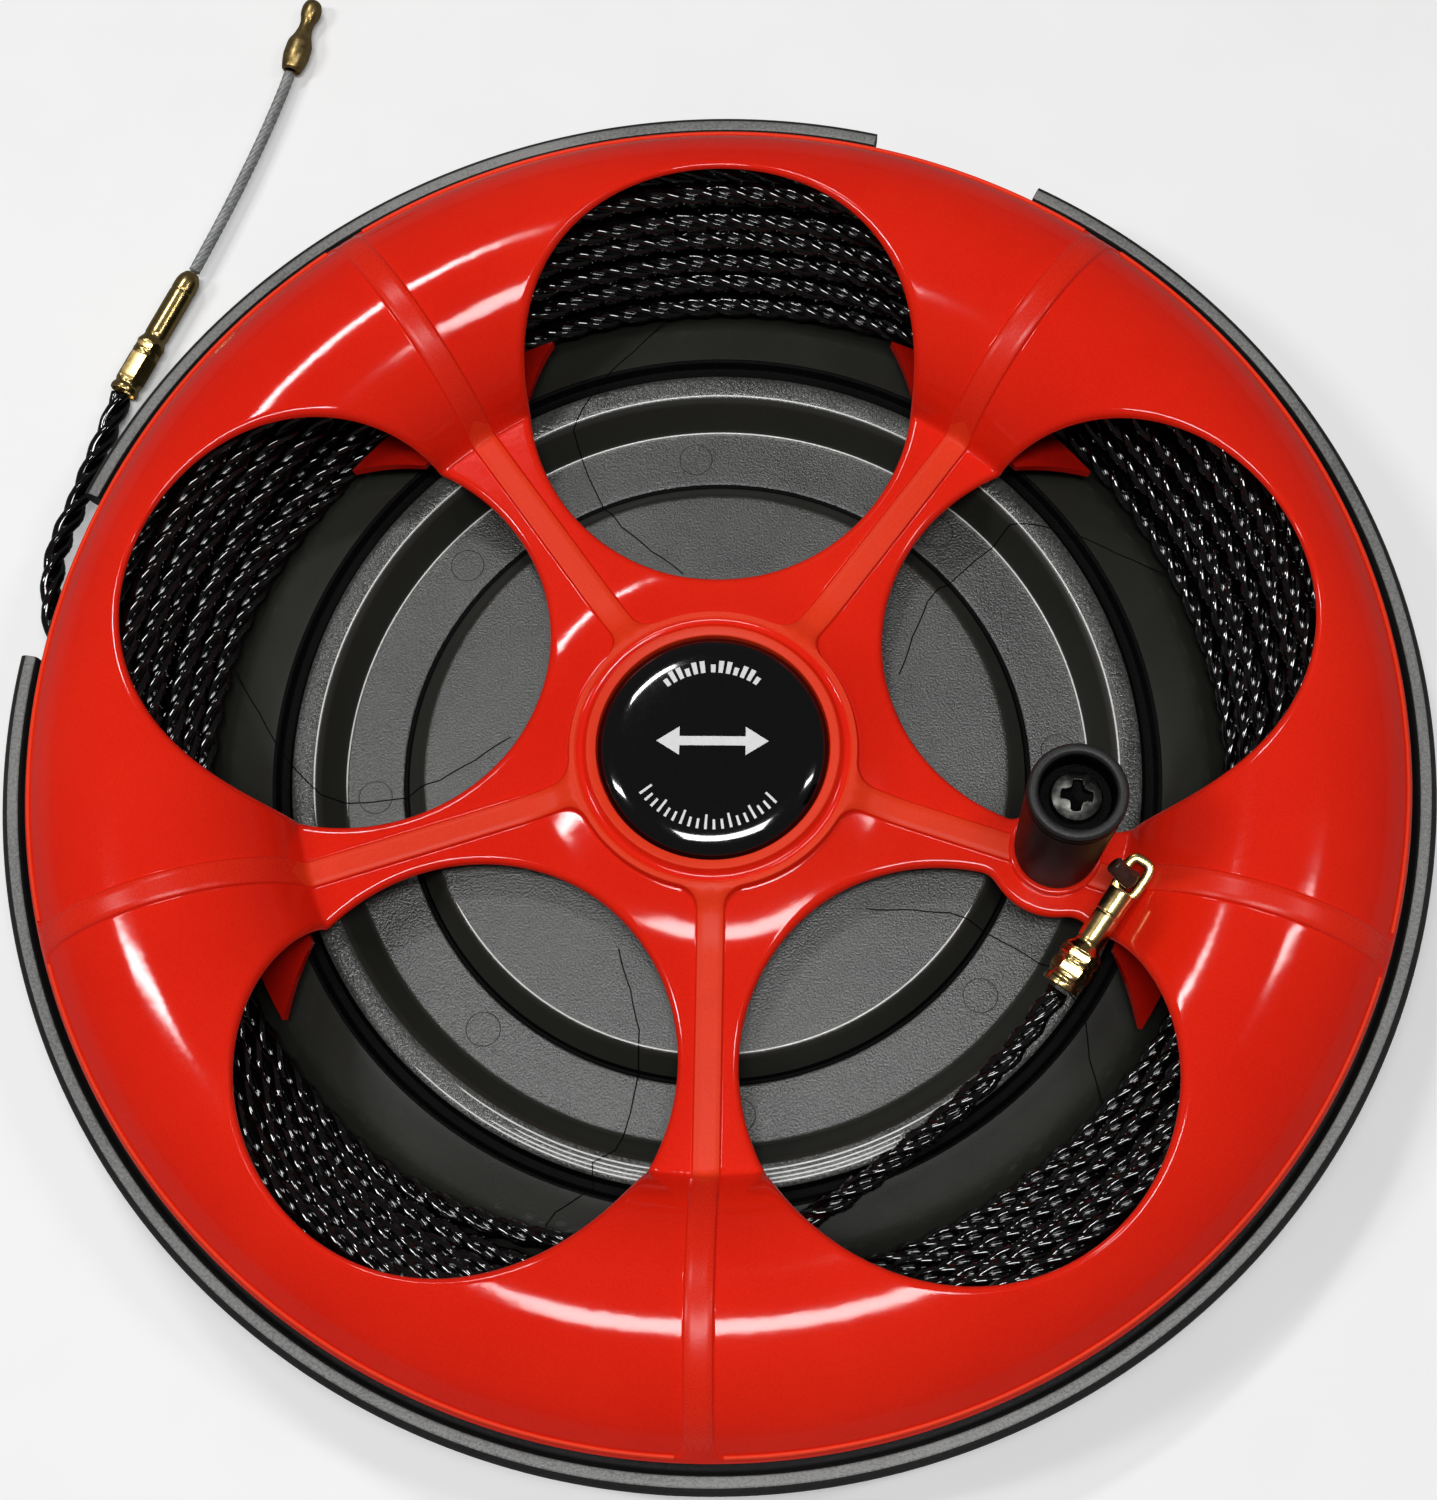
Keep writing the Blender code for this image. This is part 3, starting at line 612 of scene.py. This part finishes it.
# --- rear pan ----------------------------------------------------------------------------------
PAN_TOP = [
    (3.7, 12.0, 0), (8.2, 12.0, 0.4), (9.0, 11.2, 0.3), (9.0, 10.0, 0.2), (68.6, 10.0, 0.5),
    (69.9, 9.2, 0.6), (73.5, 3.9, 0.5), (73.9, 2.9, 0.25), (74.5, 2.9, 0.25), (75.1, 3.3, 0.3),
    (88.1, 3.3, 0.3), (89.1, 3.9, 0.4), (93.1, 11.0, 0.5), (94.4, 12.0, 0.5), (95.5, 12.3, 0.4),
    (97.4, 12.5, 1.0), (99.2, 12.3, 0.6), (100.1, 11.9, 0.3), (100.9, 10.0, 0.3), (102.9, 10.0, 0.4),
    (103.8, 11.9, 0.25), (104.4, 12.1, 0.3),
    (115.5, 8.6, 2.0), (121.0, 3.6, 2.0), (126.0, 2.5, 2.0), (146.0, 2.5, 3.0), (152.5, 4.6, 2.5),
    (155.4, 8.5, 0.2),
]


def pan_pick(radius, z):
    """Index of a face's material in add_pan's list for the dish. The groove outside the band, its outer
    lip and the corner at the foot of the disc wall get the near-black, as painted shade.
    """
    if z < 2.4 and radius > 120:
        return 1
    if radius < 69.0 or 74.8 < radius < 88.4:
        return 0
    if 94.5 < radius < 99.9:
        return 3
    # groove, its lip and the foot corner: near-black painted shade
    if 99.9 <= radius <= 104.9 or 73.4 < radius <= 74.8:
        return 2
    return 1


def add_pan():
    top = dense(rounded(PAN_TOP), 2.5)
    under = rounded([
        (158.9, 8.5, 0.2), (154.4, 2.4, 1.0), (147.0, 0.0, 1.0), (125.0, 0.0, 1.0), (119.0, 1.3, 1.5),
        (113.6, 5.8, 1.5), (92.0, 7.6, 0.8), (89.6, 0.8, 0.6), (72.6, 0.8, 0.6), (68.4, 7.5, 0.8),
        (3.7, 7.5, 0),
    ])
    dish = lathe("pan_dish", np.vstack([top, dense(under, 3.0)]),
                 [PAN_GRAIN, PAN_SMOOTH, BLACK_SEAMS_AND_PAINTED_SHADE, PAN_BAND], steps=300, closed=True, pick=pan_pick)
    wall = rounded([
        (155.2, 8.1, 0), (156.5, 10.0, 0.6), (157.4, 20.6, 0.5), (160.0, 21.2, 0.6),
        (160.5, 25.0, 0.4), (161.0, 25.8, 0.35), (163.1, 26.0, 0.5), (164.3, 25.3, 0.6),
        (165.0, 24.0, 0.5), (165.0, 20.4, 0.5), (163.8, 18.8, 0.8), (160.4, 18.4, 0.8),
        (159.4, 9.2, 0.6), (158.6, 8.1, 0),
    ])
    spans = ((OUTLETS[1][1], OUTLETS[0][0]), (OUTLETS[0][1], OUTLETS[1][0] + 360.0))
    pieces = [dish]
    for k, span in enumerate(spans):
        pieces.append(lathe(f"pan_flange_{k}", wall, [FLANGE_PAINTED_SHADE, FLANGE],
                            steps=round((span[1] - span[0]) * 1.2), closed=True, span=span,
                            # only the top ridge keeps the grey; the walls and channel take the painted
                            # shade
                            pick=lambda r, z: int(160.9 < r < 163.4 and z > 25)))
    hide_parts("rear_pan")
    pieces.append(thread("pan_ejector_marks", ejector_marks(), 0.13, PAN_SMOOTH, closed=True))
    # near-white threads along the ring edges: painted highlights
    pieces.append(thread("pan_painted_highlights", painted_highlight_arcs(), 0.24, PAN_PAINTED_HIGHLIGHT))
    pieces.append(thread("pan_seams", pan_seams(), 0.16, BLACK_SEAMS_AND_PAINTED_SHADE))
    for piece in pieces:
        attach(piece, "base")


def ejector_marks():
    """Eight small circles on the pan's ring floor."""
    ring_r, mark_r, height, count, first = 81.7, 4.0, 3.28, 8, 94.5
    marks = []
    for k in range(count):
        angle = math.radians(first + 360.0 / count * k)
        marks.append(np.array([(ring_r * math.cos(angle) + mark_r * math.cos(t),
                                ring_r * math.sin(angle) + mark_r * math.sin(t), height)
                               for t in np.linspace(0, 2 * math.pi, 37)[:-1]]))
    return marks


def painted_highlight_arcs():
    """Arcs (radius, height, first and last degree) on the pan's rings, whose ends sink into it. They
    are painted highlights: near-white threads laid only on the arcs where the rings' edges catch the
    light.
    """
    arcs = ((88.55, 3.45, -24, 204), (94.75, 12.05, -24, 204), (68.5, 9.95, 196, 344),
            (95.7, 12.28, 218, 322), (96.8, 12.36, 226, 314), (97.8, 12.36, 222, 318),
            (98.7, 12.28, 210, 330))
    sinking, deepest = 24, 0.5
    edges = []
    for radius, height, first, last in arcs:
        angle = np.radians(np.linspace(first, last, 2 * (last - first)))
        to_end = np.degrees(np.minimum(angle - angle[0], angle[-1] - angle))
        sunk = deepest * np.clip(1 - to_end / sinking, 0, 1)
        edges.append(np.stack([radius * np.cos(angle), radius * np.sin(angle), height - sunk], -1))
    return edges


def pan_seams():
    """One fine line across the pan's rings in each fifth, two of them leaning at the outer end."""
    floor = [spot for spot in PAN_TOP if spot[0] < 121]
    seams = []
    for k, lean in enumerate((0.0, 0.0, 0.0, 10.0, 6.0)):
        spots = [(119.0, 24.4 + lean), (110.0, 29.5 + lean * 0.65), (102.6, 35.0 + lean * 0.45),
                 (97.2, 38.6), (93.2, 41.0), (83.2, 41.3), (74.0, 41.0), (69.6, 40.4), (65.2, 39.5),
                 (57.0, 35.0), (49.2, 28.0)]
        fine = []
        for (ra, aa), (rb, ab) in zip(spots, spots[1:]):
            for t in np.linspace(0, 1, 14, endpoint=False):
                fine.append((ra + (rb - ra) * t, math.radians(aa + (ab - aa) * t + SECTOR_STEP * k)))
        fine.append((spots[-1][0], math.radians(spots[-1][1] + SECTOR_STEP * k)))
        seams.append(np.array([(r * math.cos(a), r * math.sin(a), height_at(r, floor) + 0.02)
                               for r, a in fine]))
    return seams


add_pan()


# --- front wheel -------------------------------------------------------------------------------
HUB_Z, HUB_SLOPE_R, HUB_SLOPE_LONG = 23.5, 34.0, 14.0
LIP_ROUND = 1.7  # of the windows' edges
BOSS_REACH = {0: 11.2, 4: 15.2}  # radius of the crank's boss in each window that it enters


def torus_z(radius):
    return TORUS_Z + np.sqrt(np.maximum(TORUS_ROUND**2 - (radius - TORUS_R) ** 2, 0.0))


def plate_z(radius):
    """Height of the wheel's skin without ribs, lips and bead."""
    down = np.clip((radius - HUB_SLOPE_R) / HUB_SLOPE_LONG, 0, 1)
    hub = HUB_Z + (PLATE_TOP - HUB_Z) * np.sin(down * math.pi / 2)
    ledge = ease((radius - (PLATE_EDGE_R - 0.7)) / 1.0)
    rim = torus_z(np.maximum(radius, PLATE_EDGE_R))
    # a narrow flatter band just inside the outer bead
    flat = ease((radius - 153.0) / 0.8) * ease((157.6 - radius) / 0.6)
    return hub * (1 - ledge) + rim * ledge - 0.22 * flat


def raised(radius, depth):
    """Extra height at `depth` (negative inside the raised edge) of the ribs, hub lip and bead."""
    much = np.interp(radius, [HUB_LIP_R, 38.0, 150.0, 157.0], [2.0, 0.8, 0.8, 0.5])
    return much * ease((0.3 - depth) / 0.5)


def first_root(field, low, high, level=0.0, count=400, halvings=30):
    """For each ray, the first distance from `low` to `high` where the field falls to `level`."""
    marks = low[:, None] + (high - low)[:, None] * np.linspace(0.0, 1.0, count)[None, :]
    under = field(marks) < level
    first = np.where(under.any(axis=1), under.argmax(axis=1), marks.shape[1] - 1)
    a = marks[np.arange(len(low)), np.maximum(first - 1, 0)]
    b = marks[np.arange(len(low)), first]
    for _ in range(halvings):
        c = (a + b) / 2
        inside = field(c[:, None])[:, 0] >= level
        a, b = np.where(inside, c, a), np.where(inside, b, c)
    return (a + b) / 2


def wheel_sector(centre_angle, boss_reach):
    """Points of one fifth of the wheel, on rays from its window's edge to the sector's own, and for
    each point the index of its material in add_wheel's list."""
    rim = [(COVER_R, t) for t in np.linspace(0.0, SPOKE_HALF, 61)[:-1]]
    spoke = [(r, SPOKE_HALF) for r in np.linspace(COVER_R, HUB_CREST_R, 171)[:-1]]
    hub = [(HUB_CREST_R, t) for t in np.linspace(SPOKE_HALF, 0.0, 15)]
    half = np.array([math.atan2(r * math.sin(t), r * math.cos(t) - WINDOW_R)
                     for r, t in rim + spoke + hub])
    rays = np.concatenate([half, -half[1:-1][::-1]])
    cos, sin = np.cos(rays)[:, None], np.sin(rays)[:, None]
    turn = math.radians(centre_angle)
    boss = (KNOB[0] * math.cos(turn) + KNOB[1] * math.sin(turn),
            -KNOB[0] * math.sin(turn) + KNOB[1] * math.cos(turn))

    def place(s):
        return WINDOW_R + s * cos, s * sin

    def inside_window(s):
        x, y = place(s)
        oval = (np.hypot((x - WINDOW_R) / WINDOW_RADIAL, y / WINDOW_ACROSS) - 1) * 47.0
        if boss_reach:
            oval = -smin(-oval, -(boss_reach - np.hypot(x - boss[0], y - boss[1])), 2.2)
        return -oval

    def spoke_distance(x, y):
        return np.hypot(x, y) * np.sin(SPOKE_HALF - np.abs(np.arctan2(y, x)))

    def in_sector(s):
        x, y = place(s)
        r = np.hypot(x, y)
        return np.minimum(np.minimum(spoke_distance(x, y), r - HUB_CREST_R), COVER_R - r)

    def depth(s):
        x, y = place(s)
        r = np.hypot(x, y)
        return smin(smin(spoke_distance(x, y) - RIB_HALF, r - HUB_LIP_R, 5.0), RAISED_EDGE_R - r, 2.5)

    zero = np.zeros(len(rays))
    edge = first_root(inside_window, zero + 5.0, zero + 60.0)
    border = first_root(in_sector, edge, zero + 128.0)
    levels = (1.0, 0.55, 0.3, 0.12, -0.06, -0.25)  # close together where a rib's side rises
    contours = [first_root(depth, edge, border, level) for level in levels]
    room = contours[0] - edge
    offsets = np.array([0.0, 0.1, 0.3, 0.6, 1.0, 1.5, 2.0, 2.5, 3.2])
    squeeze = np.minimum(1.0, 0.8 * room / offsets[-1])
    lines = [edge + offset * squeeze for offset in offsets]
    last, count = lines[-1], 20
    lines += [last + (contours[0] - last) * k / count for k in range(1, count)]
    lines += contours
    lines += [contours[-1] + (border - contours[-1]) * share for share in (0.5, 1.0)]
    s = np.array(lines).T
    x, y = place(s)
    r = np.hypot(x, y)
    sink = depth(s)
    inward = np.clip(LIP_ROUND - (s - edge[:, None]), 0.0, LIP_ROUND)
    drop = LIP_ROUND - np.sqrt(np.maximum(LIP_ROUND**2 - inward**2, 0.0))
    z = plate_z(r) + raised(r, sink) - drop
    points = np.stack([x * math.cos(turn) - y * math.sin(turn),
                       x * math.sin(turn) + y * math.cos(turn), z], -1)
    on_rib = (sink < 0.05) & (r < 156.8)
    return points, np.where(on_rib, np.where(r > PLATE_EDGE_R + 0.6, 2, 1), 0)


def add_wheel():
    points, faces, picks, base = [], [], [], 0
    for k in range(SECTORS):
        grid, looks = wheel_sector(FIRST_WINDOW + SECTOR_STEP * k, BOSS_REACH.get(k, 0.0))
        rows, columns = grid.shape[:2]
        made = quads(rows, columns, wrap_rows=True)
        points.append(grid.reshape(-1, 3))
        faces.append(made + base)
        picks.append(looks.reshape(-1)[made].min(axis=1))
        base += rows * columns
    shell = mesh_object("wheel_shell", np.vstack(points), np.vstack(faces), [RED, RED_MATTE, RED_SOFT],
                        np.concatenate(picks), sharp=None)
    work = bmesh.new()
    work.from_mesh(shell.data)
    bmesh.ops.remove_doubles(work, verts=work.verts, dist=0.00002)
    bmesh.ops.recalc_face_normals(work, faces=work.faces)
    if sum(face.normal.z for face in work.faces) < 0:
        bmesh.ops.reverse_faces(work, faces=work.faces)
    work.to_mesh(shell.data)
    work.free()
    thicken(shell, COVER_WALL, -1.0, 55.0)
    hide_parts("front_cover")

    pieces = [shell]
    ring = rounded([
        (26.95, 22.0, 0), (26.95, 26.3, 0.35), (29.1, 26.7, 0.35), (30.2, 25.0, 0.4),
        (31.3, 24.9, 0.4), (32.2, 25.6, 0.25), (32.6, 25.25, 0.1), (33.2, 24.6, 0.1), (33.2, 22.0, 0),
    ])
    pieces.append(lathe("hub_ring", ring[::-1], [RED_MATTE, RED], steps=160, closed=True,
                        pick=lambda r, z: 1 if 29.6 < r < 31.8 else 0))
    core = rounded([(8.95, 12.0, 0), (24.5, 12.0, 0.5), (26.0, 18.0, 0.5), (26.9, 22.2, 0.3),
                    (26.9, 24.0, 0.1), (16.0, 24.0, 0.2), (15.0, 17.2, 0.2), (8.95, 17.2, 0)])
    pieces.append(lathe("hub_core", core, [RED], steps=120, closed=True))
    seat = rounded([
        (3.3, 13.0, 0), (8.6, 13.0, 0.4), (9.0, 13.6, 0.4), (9.0, 19.4, 0.3), (10.7, 20.0, 0.2),
        (10.7, 21.9, 0.35), (10.2, 22.3, 0.3), (3.3, 22.3, 0),
    ])
    pieces.append(lathe("crank_seat", seat, [RED], steps=96, closed=True, at=(*KNOB, 0)))
    pieces += [spoke_leg(k) for k in range(SECTORS)]
    pieces.append(thread("wheel_bead", bead_arcs(), 0.55, RED_MATTE))
    for piece in pieces:
        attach(piece, "wheel")


def bead_arcs():
    """The bead round the wheel's edge, one arc from rib to rib."""
    reach = math.degrees(SPOKE_HALF) - 1.9
    height = float(plate_z(np.array(BEAD_R))) + 0.3
    arcs = []
    for k in range(SECTORS):
        angle = np.radians(FIRST_WINDOW + SECTOR_STEP * k + np.linspace(-reach, reach, 121))
        arcs.append(np.stack([BEAD_R * np.cos(angle), BEAD_R * np.sin(angle), height + 0 * angle], -1))
    return arcs


def thicken(thing, wall, offset, sharp):
    """Gives a skin its wall, in millimetres, on one side (offset -1) or both (0), as plain mesh."""
    solid = thing.modifiers.new("wall", "SOLIDIFY")
    solid.thickness, solid.offset = wall * 0.001, offset
    graph = bpy.context.evaluated_depsgraph_get()
    bpy.context.view_layer.update()
    mesh = bpy.data.meshes.new_from_object(thing.evaluated_get(graph))
    thing.modifiers.clear()
    thing.data = mesh
    mesh.shade_smooth()
    mesh.set_sharp_from_angle(angle=math.radians(sharp))


def spoke_leg(k):
    """The inner wall of the hollow rim that stands under each spoke, flaring to the tape. Its darker
    red is painted shade.
    """
    rows, columns = 9, 15
    points = []
    for a in np.linspace(0.0, 1.0, rows):
        r = 101.5 + 13.9 * a
        z = 19.2 - 1.4 * a - 3.4 * a * a
        half = 8.6 + 6.2 * a
        for b in np.linspace(-1.0, 1.0, columns):
            angle = math.radians(FIRST_WINDOW - SECTOR_STEP / 2 + SECTOR_STEP * k + half * b)
            points.append((r * math.cos(angle), r * math.sin(angle), z))
    made = mesh_object(f"spoke_leg_{k}", points, quads(rows, columns)[:, ::-1], [RED_PAINTED_SHADE], sharp=None)
    thicken(made, 1.8, 0.0, 40.0)
    return made


add_wheel()


# --- hub badge ---------------------------------------------------------------------------------
BADGE_DOME = [
    (0.02, 28.3, 0), (16.0, 28.15, 3.0), (22.2, 27.65, 2.0), (25.1, 26.7, 1.2), (26.3, 25.5, 0.6),
    (26.7, 24.9, 0.2), (26.7, 24.3, 0),
]
BAR_LIFT, ARROW_LIFT = 0.05, 0.07  # how far the marks stand over the dome


def badge_z(radius):
    return height_at(radius, BADGE_DOME[:6])


def patch_on_badge(points, faces, polar_box, steps):
    """Adds one curved cell (first and last radius, first and last degree) lying on the dome."""
    r0, r1, a0, a1 = polar_box
    start = len(points)
    for r in np.linspace(r0, r1, 3):
        for a in np.radians(np.linspace(a0, a1, steps + 1)):
            points.append((r * math.cos(a), r * math.sin(a), badge_z(r) + BAR_LIFT))
    faces.extend((quads(3, steps + 1) + start).tolist())


def add_badge():
    dome = lathe("badge_dome", dense(rounded(BADGE_DOME), 1.0)[::-1], [BADGE], steps=128)
    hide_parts("hub_badge")
    points, faces, step = [], [], 5.6
    for k in range(13):  # upper arc of plain bars, in two groups
        angle = 126.0 - step * k - (2.0 if k > 5 else 0.0)
        patch_on_badge(points, faces, (17.2, 20.2 if k % 3 else 19.2, angle - 1.7, angle + 1.7), 3)
    for k in range(19):  # lower arc: an even scale
        angle = 216.0 + step * k
        patch_on_badge(points, faces, (18.0 if k % 3 else 16.9, 20.3, angle - 0.9, angle + 0.9), 2)
    marks = mesh_object("badge_marks", points, faces, [MARK], sharp=None)
    arrow, shapes = [], []
    shaft, barb, neck, tip = 1.1, 3.4, 7.6, 12.9
    for way in (1, -1):  # a plain two-way turning sign
        outline = [(-0.6 * way, shaft), (neck * way, shaft), (neck * way, barb), (tip * way, 0.0),
                   (neck * way, -barb), (neck * way, -shaft), (-0.6 * way, -shaft)]
        start = len(arrow)
        arrow += [(x, y + 0.6, badge_z(math.hypot(x, y)) + ARROW_LIFT) for x, y in outline]
        order = list(range(start, start + len(outline)))
        shapes.append(order if way < 0 else order[::-1])
    sign = mesh_object("badge_sign", arrow, shapes, [MARK], sharp=None)
    for piece in (dome, marks, sign):
        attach(piece, "wheel")


add_badge()


# --- crank and peg -----------------------------------------------------------------------------
def add_crank():
    grip = rounded([
        (5.35, 62.2, 0), (7.5, 62.2, 0.2), (8.05, 62.6, 0.3), (8.05, 68.6, 0.3), (8.5, 69.7, 0.4),
        (9.0, 70.0, 0.3), (10.1, 70.0, 0.5), (10.75, 69.2, 0.4), (10.75, 67.4, 0.2), (10.5, 67.1, 0.15),
        (10.5, 66.7, 0.15), (10.72, 66.4, 0.2), (10.66, 64.6, 0.3), (10.2, 46.0, 2.0), (9.6, 24.6, 0.6),
        (9.4, 23.2, 0.5), (8.8, 22.62, 0.3), (5.35, 22.62, 0),
    ])
    # faces inside the knob's recess (radius 8.2 and less) are near-black painted shade
    knob = lathe("grip_body", dense(grip, 2.5)[::-1], [BLACK, BLACK_GRAIN_LIT_TOP, BLACK_SEAMS_AND_PAINTED_SHADE], steps=128,
                 closed=True, at=(*KNOB, 0),
                 # top faces get the lighter grained black, which is painted top light
                 pick=lambda r, z: (1 if z > 69.3 else 0) if r > 8.2 else 2)
    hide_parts("knob_grip")
    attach(knob, "knob")
    screw = screw_head()
    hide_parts("crank_screw")
    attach(screw, "wheel")
    post = rounded([(0.02, 35.2, 0), (0.9, 35.2, 0.3), (1.35, 34.6, 0.3), (1.35, 15.4, 0.3),
                    (0.9, 15.0, 0.2), (0.02, 15.0, 0)])
    peg = lathe("peg_post", dense(post, 1.5)[::-1], [PEG_BROWN], steps=48, at=(*PEG, 0))
    # a barrel lies across the pin's top and leans towards the knob
    low, high = np.array([93.9, -33.6, 33.7]), np.array([89.4, -29.5, 36.2])
    long = float(np.linalg.norm(high - low))
    barrel = rounded([(0.02, long, 0), (1.5, long, 0.3), (2.1, long - 0.5, 0.4), (2.1, 0.5, 0.4),
                      (1.6, 0.0, 0.3), (0.02, 0.0, 0)])
    head = lathe("peg_head", dense(barrel, 1.0)[::-1], [PEG_BROWN], steps=40, at=low, along=high - low)
    for piece in (head, peg):
        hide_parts("tail_peg")
        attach(piece, "wheel")


def screw_head():
    """Domed head with a cross recess, wider round its middle, whose floor slopes to a point."""
    rings = np.concatenate([np.linspace(0.0, 3.9, 40), np.linspace(4.1, 5.4, 8)])
    steps, cross_turn, cross_r = 144, 0.11, 3.55
    swing = np.linspace(0, 2 * math.pi, steps, endpoint=False)
    r, a = np.meshgrid(rings, swing, indexing="ij")
    x, y = r * np.cos(a + cross_turn), r * np.sin(a + cross_turn)
    dome = 67.4 - 1.5 * (r / 5.7) ** 2.2
    wide = 0.95 + 0.05 * r
    arm = smin(np.abs(x), np.abs(y), 0.01) - wide - 0.9 * np.exp(-((r - 1.2) / 0.9) ** 2)
    hollow = ease(-smin(-arm, cross_r - r, 0.25) / -0.32)
    floor = 64.5 + 0.45 * r
    z = dome * (1 - hollow) + np.minimum(floor, dome) * hollow
    points = np.stack([r * np.cos(a), r * np.sin(a), z], -1).reshape(-1, 3)
    faces = quads(len(rings), steps, wrap_columns=True)
    body = [(5.6, 65.4), (5.7, 65.0), (5.7, 64.45), (5.5, 64.3), (3.0, 64.3), (3.0, 6.6), (2.5, 6.0),
            (0.02, 6.0)]
    points = np.vstack([points, [(radius * math.cos(t), radius * math.sin(t), height)
                                 for radius, height in body for t in swing]])
    more = quads(len(body) + 1, steps, wrap_columns=True) + (len(rings) - 1) * steps
    faces = np.vstack([faces, more])
    # the deep part of the cross recess is near-black painted shade
    deep = hollow.reshape(-1) > 0.5
    picks = [int(max(face) < len(deep) and deep[face].all()) for face in faces]
    return mesh_object("screw_body", points + np.array([*KNOB, 0.0]), faces, [DARK_STEEL, BLACK_SEAMS_AND_PAINTED_SHADE],
                       picks, sharp=50.0)


add_crank()


# --- materials of the frame's own nodes that stay ----------------------------------------------
# the crank washer, down in the knob's recess, is near-black painted shade
for node, used in (("axle_bolt", ZINC), ("rear_washer", ZINC), ("thrust_washer", NYLON),
                   ("hub_bush", BRONZE), ("front_washer", ZINC), ("lock_nut", ZINC),
                   ("crank_sleeve", ZINC), ("crank_washer", BLACK_SEAMS_AND_PAINTED_SHADE), ("crank_nut", ZINC)):
    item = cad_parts[node]
    item.data.materials.clear()
    item.data.materials.append(used)


# --- floor and light ---------------------------------------------------------------------------
def add_floor():
    side, height = 6000.0, -0.4
    corners = [(x * side, y * side, height) for x, y in ((-1, -1), (1, -1), (1, 1), (-1, 1))]
    mesh_object("floor", corners, [(0, 1, 2, 3)], [FLOOR], sharp=None)


def add_light(name, place, width, height, power):
    """A white strip lamp that faces the middle of the reel."""
    data = bpy.data.lights.new(name, "AREA")
    data.shape, data.size, data.size_y, data.energy = "RECTANGLE", width, height, power
    lamp = bpy.data.objects.new(name, data)
    bpy.context.scene.collection.objects.link(lamp)
    lamp.location = place
    lamp.rotation_euler = (Vector((0, 0, 0)) - Vector(place)).to_track_quat("-Z", "Y").to_euler()


def add_world():
    world = bpy.data.worlds.new("studio")
    bpy.context.scene.world = world
    world.use_nodes = True
    back = world.node_tree.nodes["Background"]
    back.inputs["Color"].default_value = (1.0, 1.0, 1.0, 1.0)
    back.inputs["Strength"].default_value = 0.07
    bpy.context.scene.view_settings.view_transform = "Standard"


add_floor()
add_world()
add_light("strip_near", (0.03, -0.21, 1.3), width=0.60, height=0.22, power=8.2)
add_light("strip_far", (-0.36, 0.74, 1.3), width=0.28, height=0.10, power=3.2)
add_light("strip_left", (-0.95, 0.0, 1.2), width=0.10, height=0.35, power=4.0)
add_light("strip_right", (0.80, 0.10, 1.2), width=0.06, height=0.25, power=1.4)
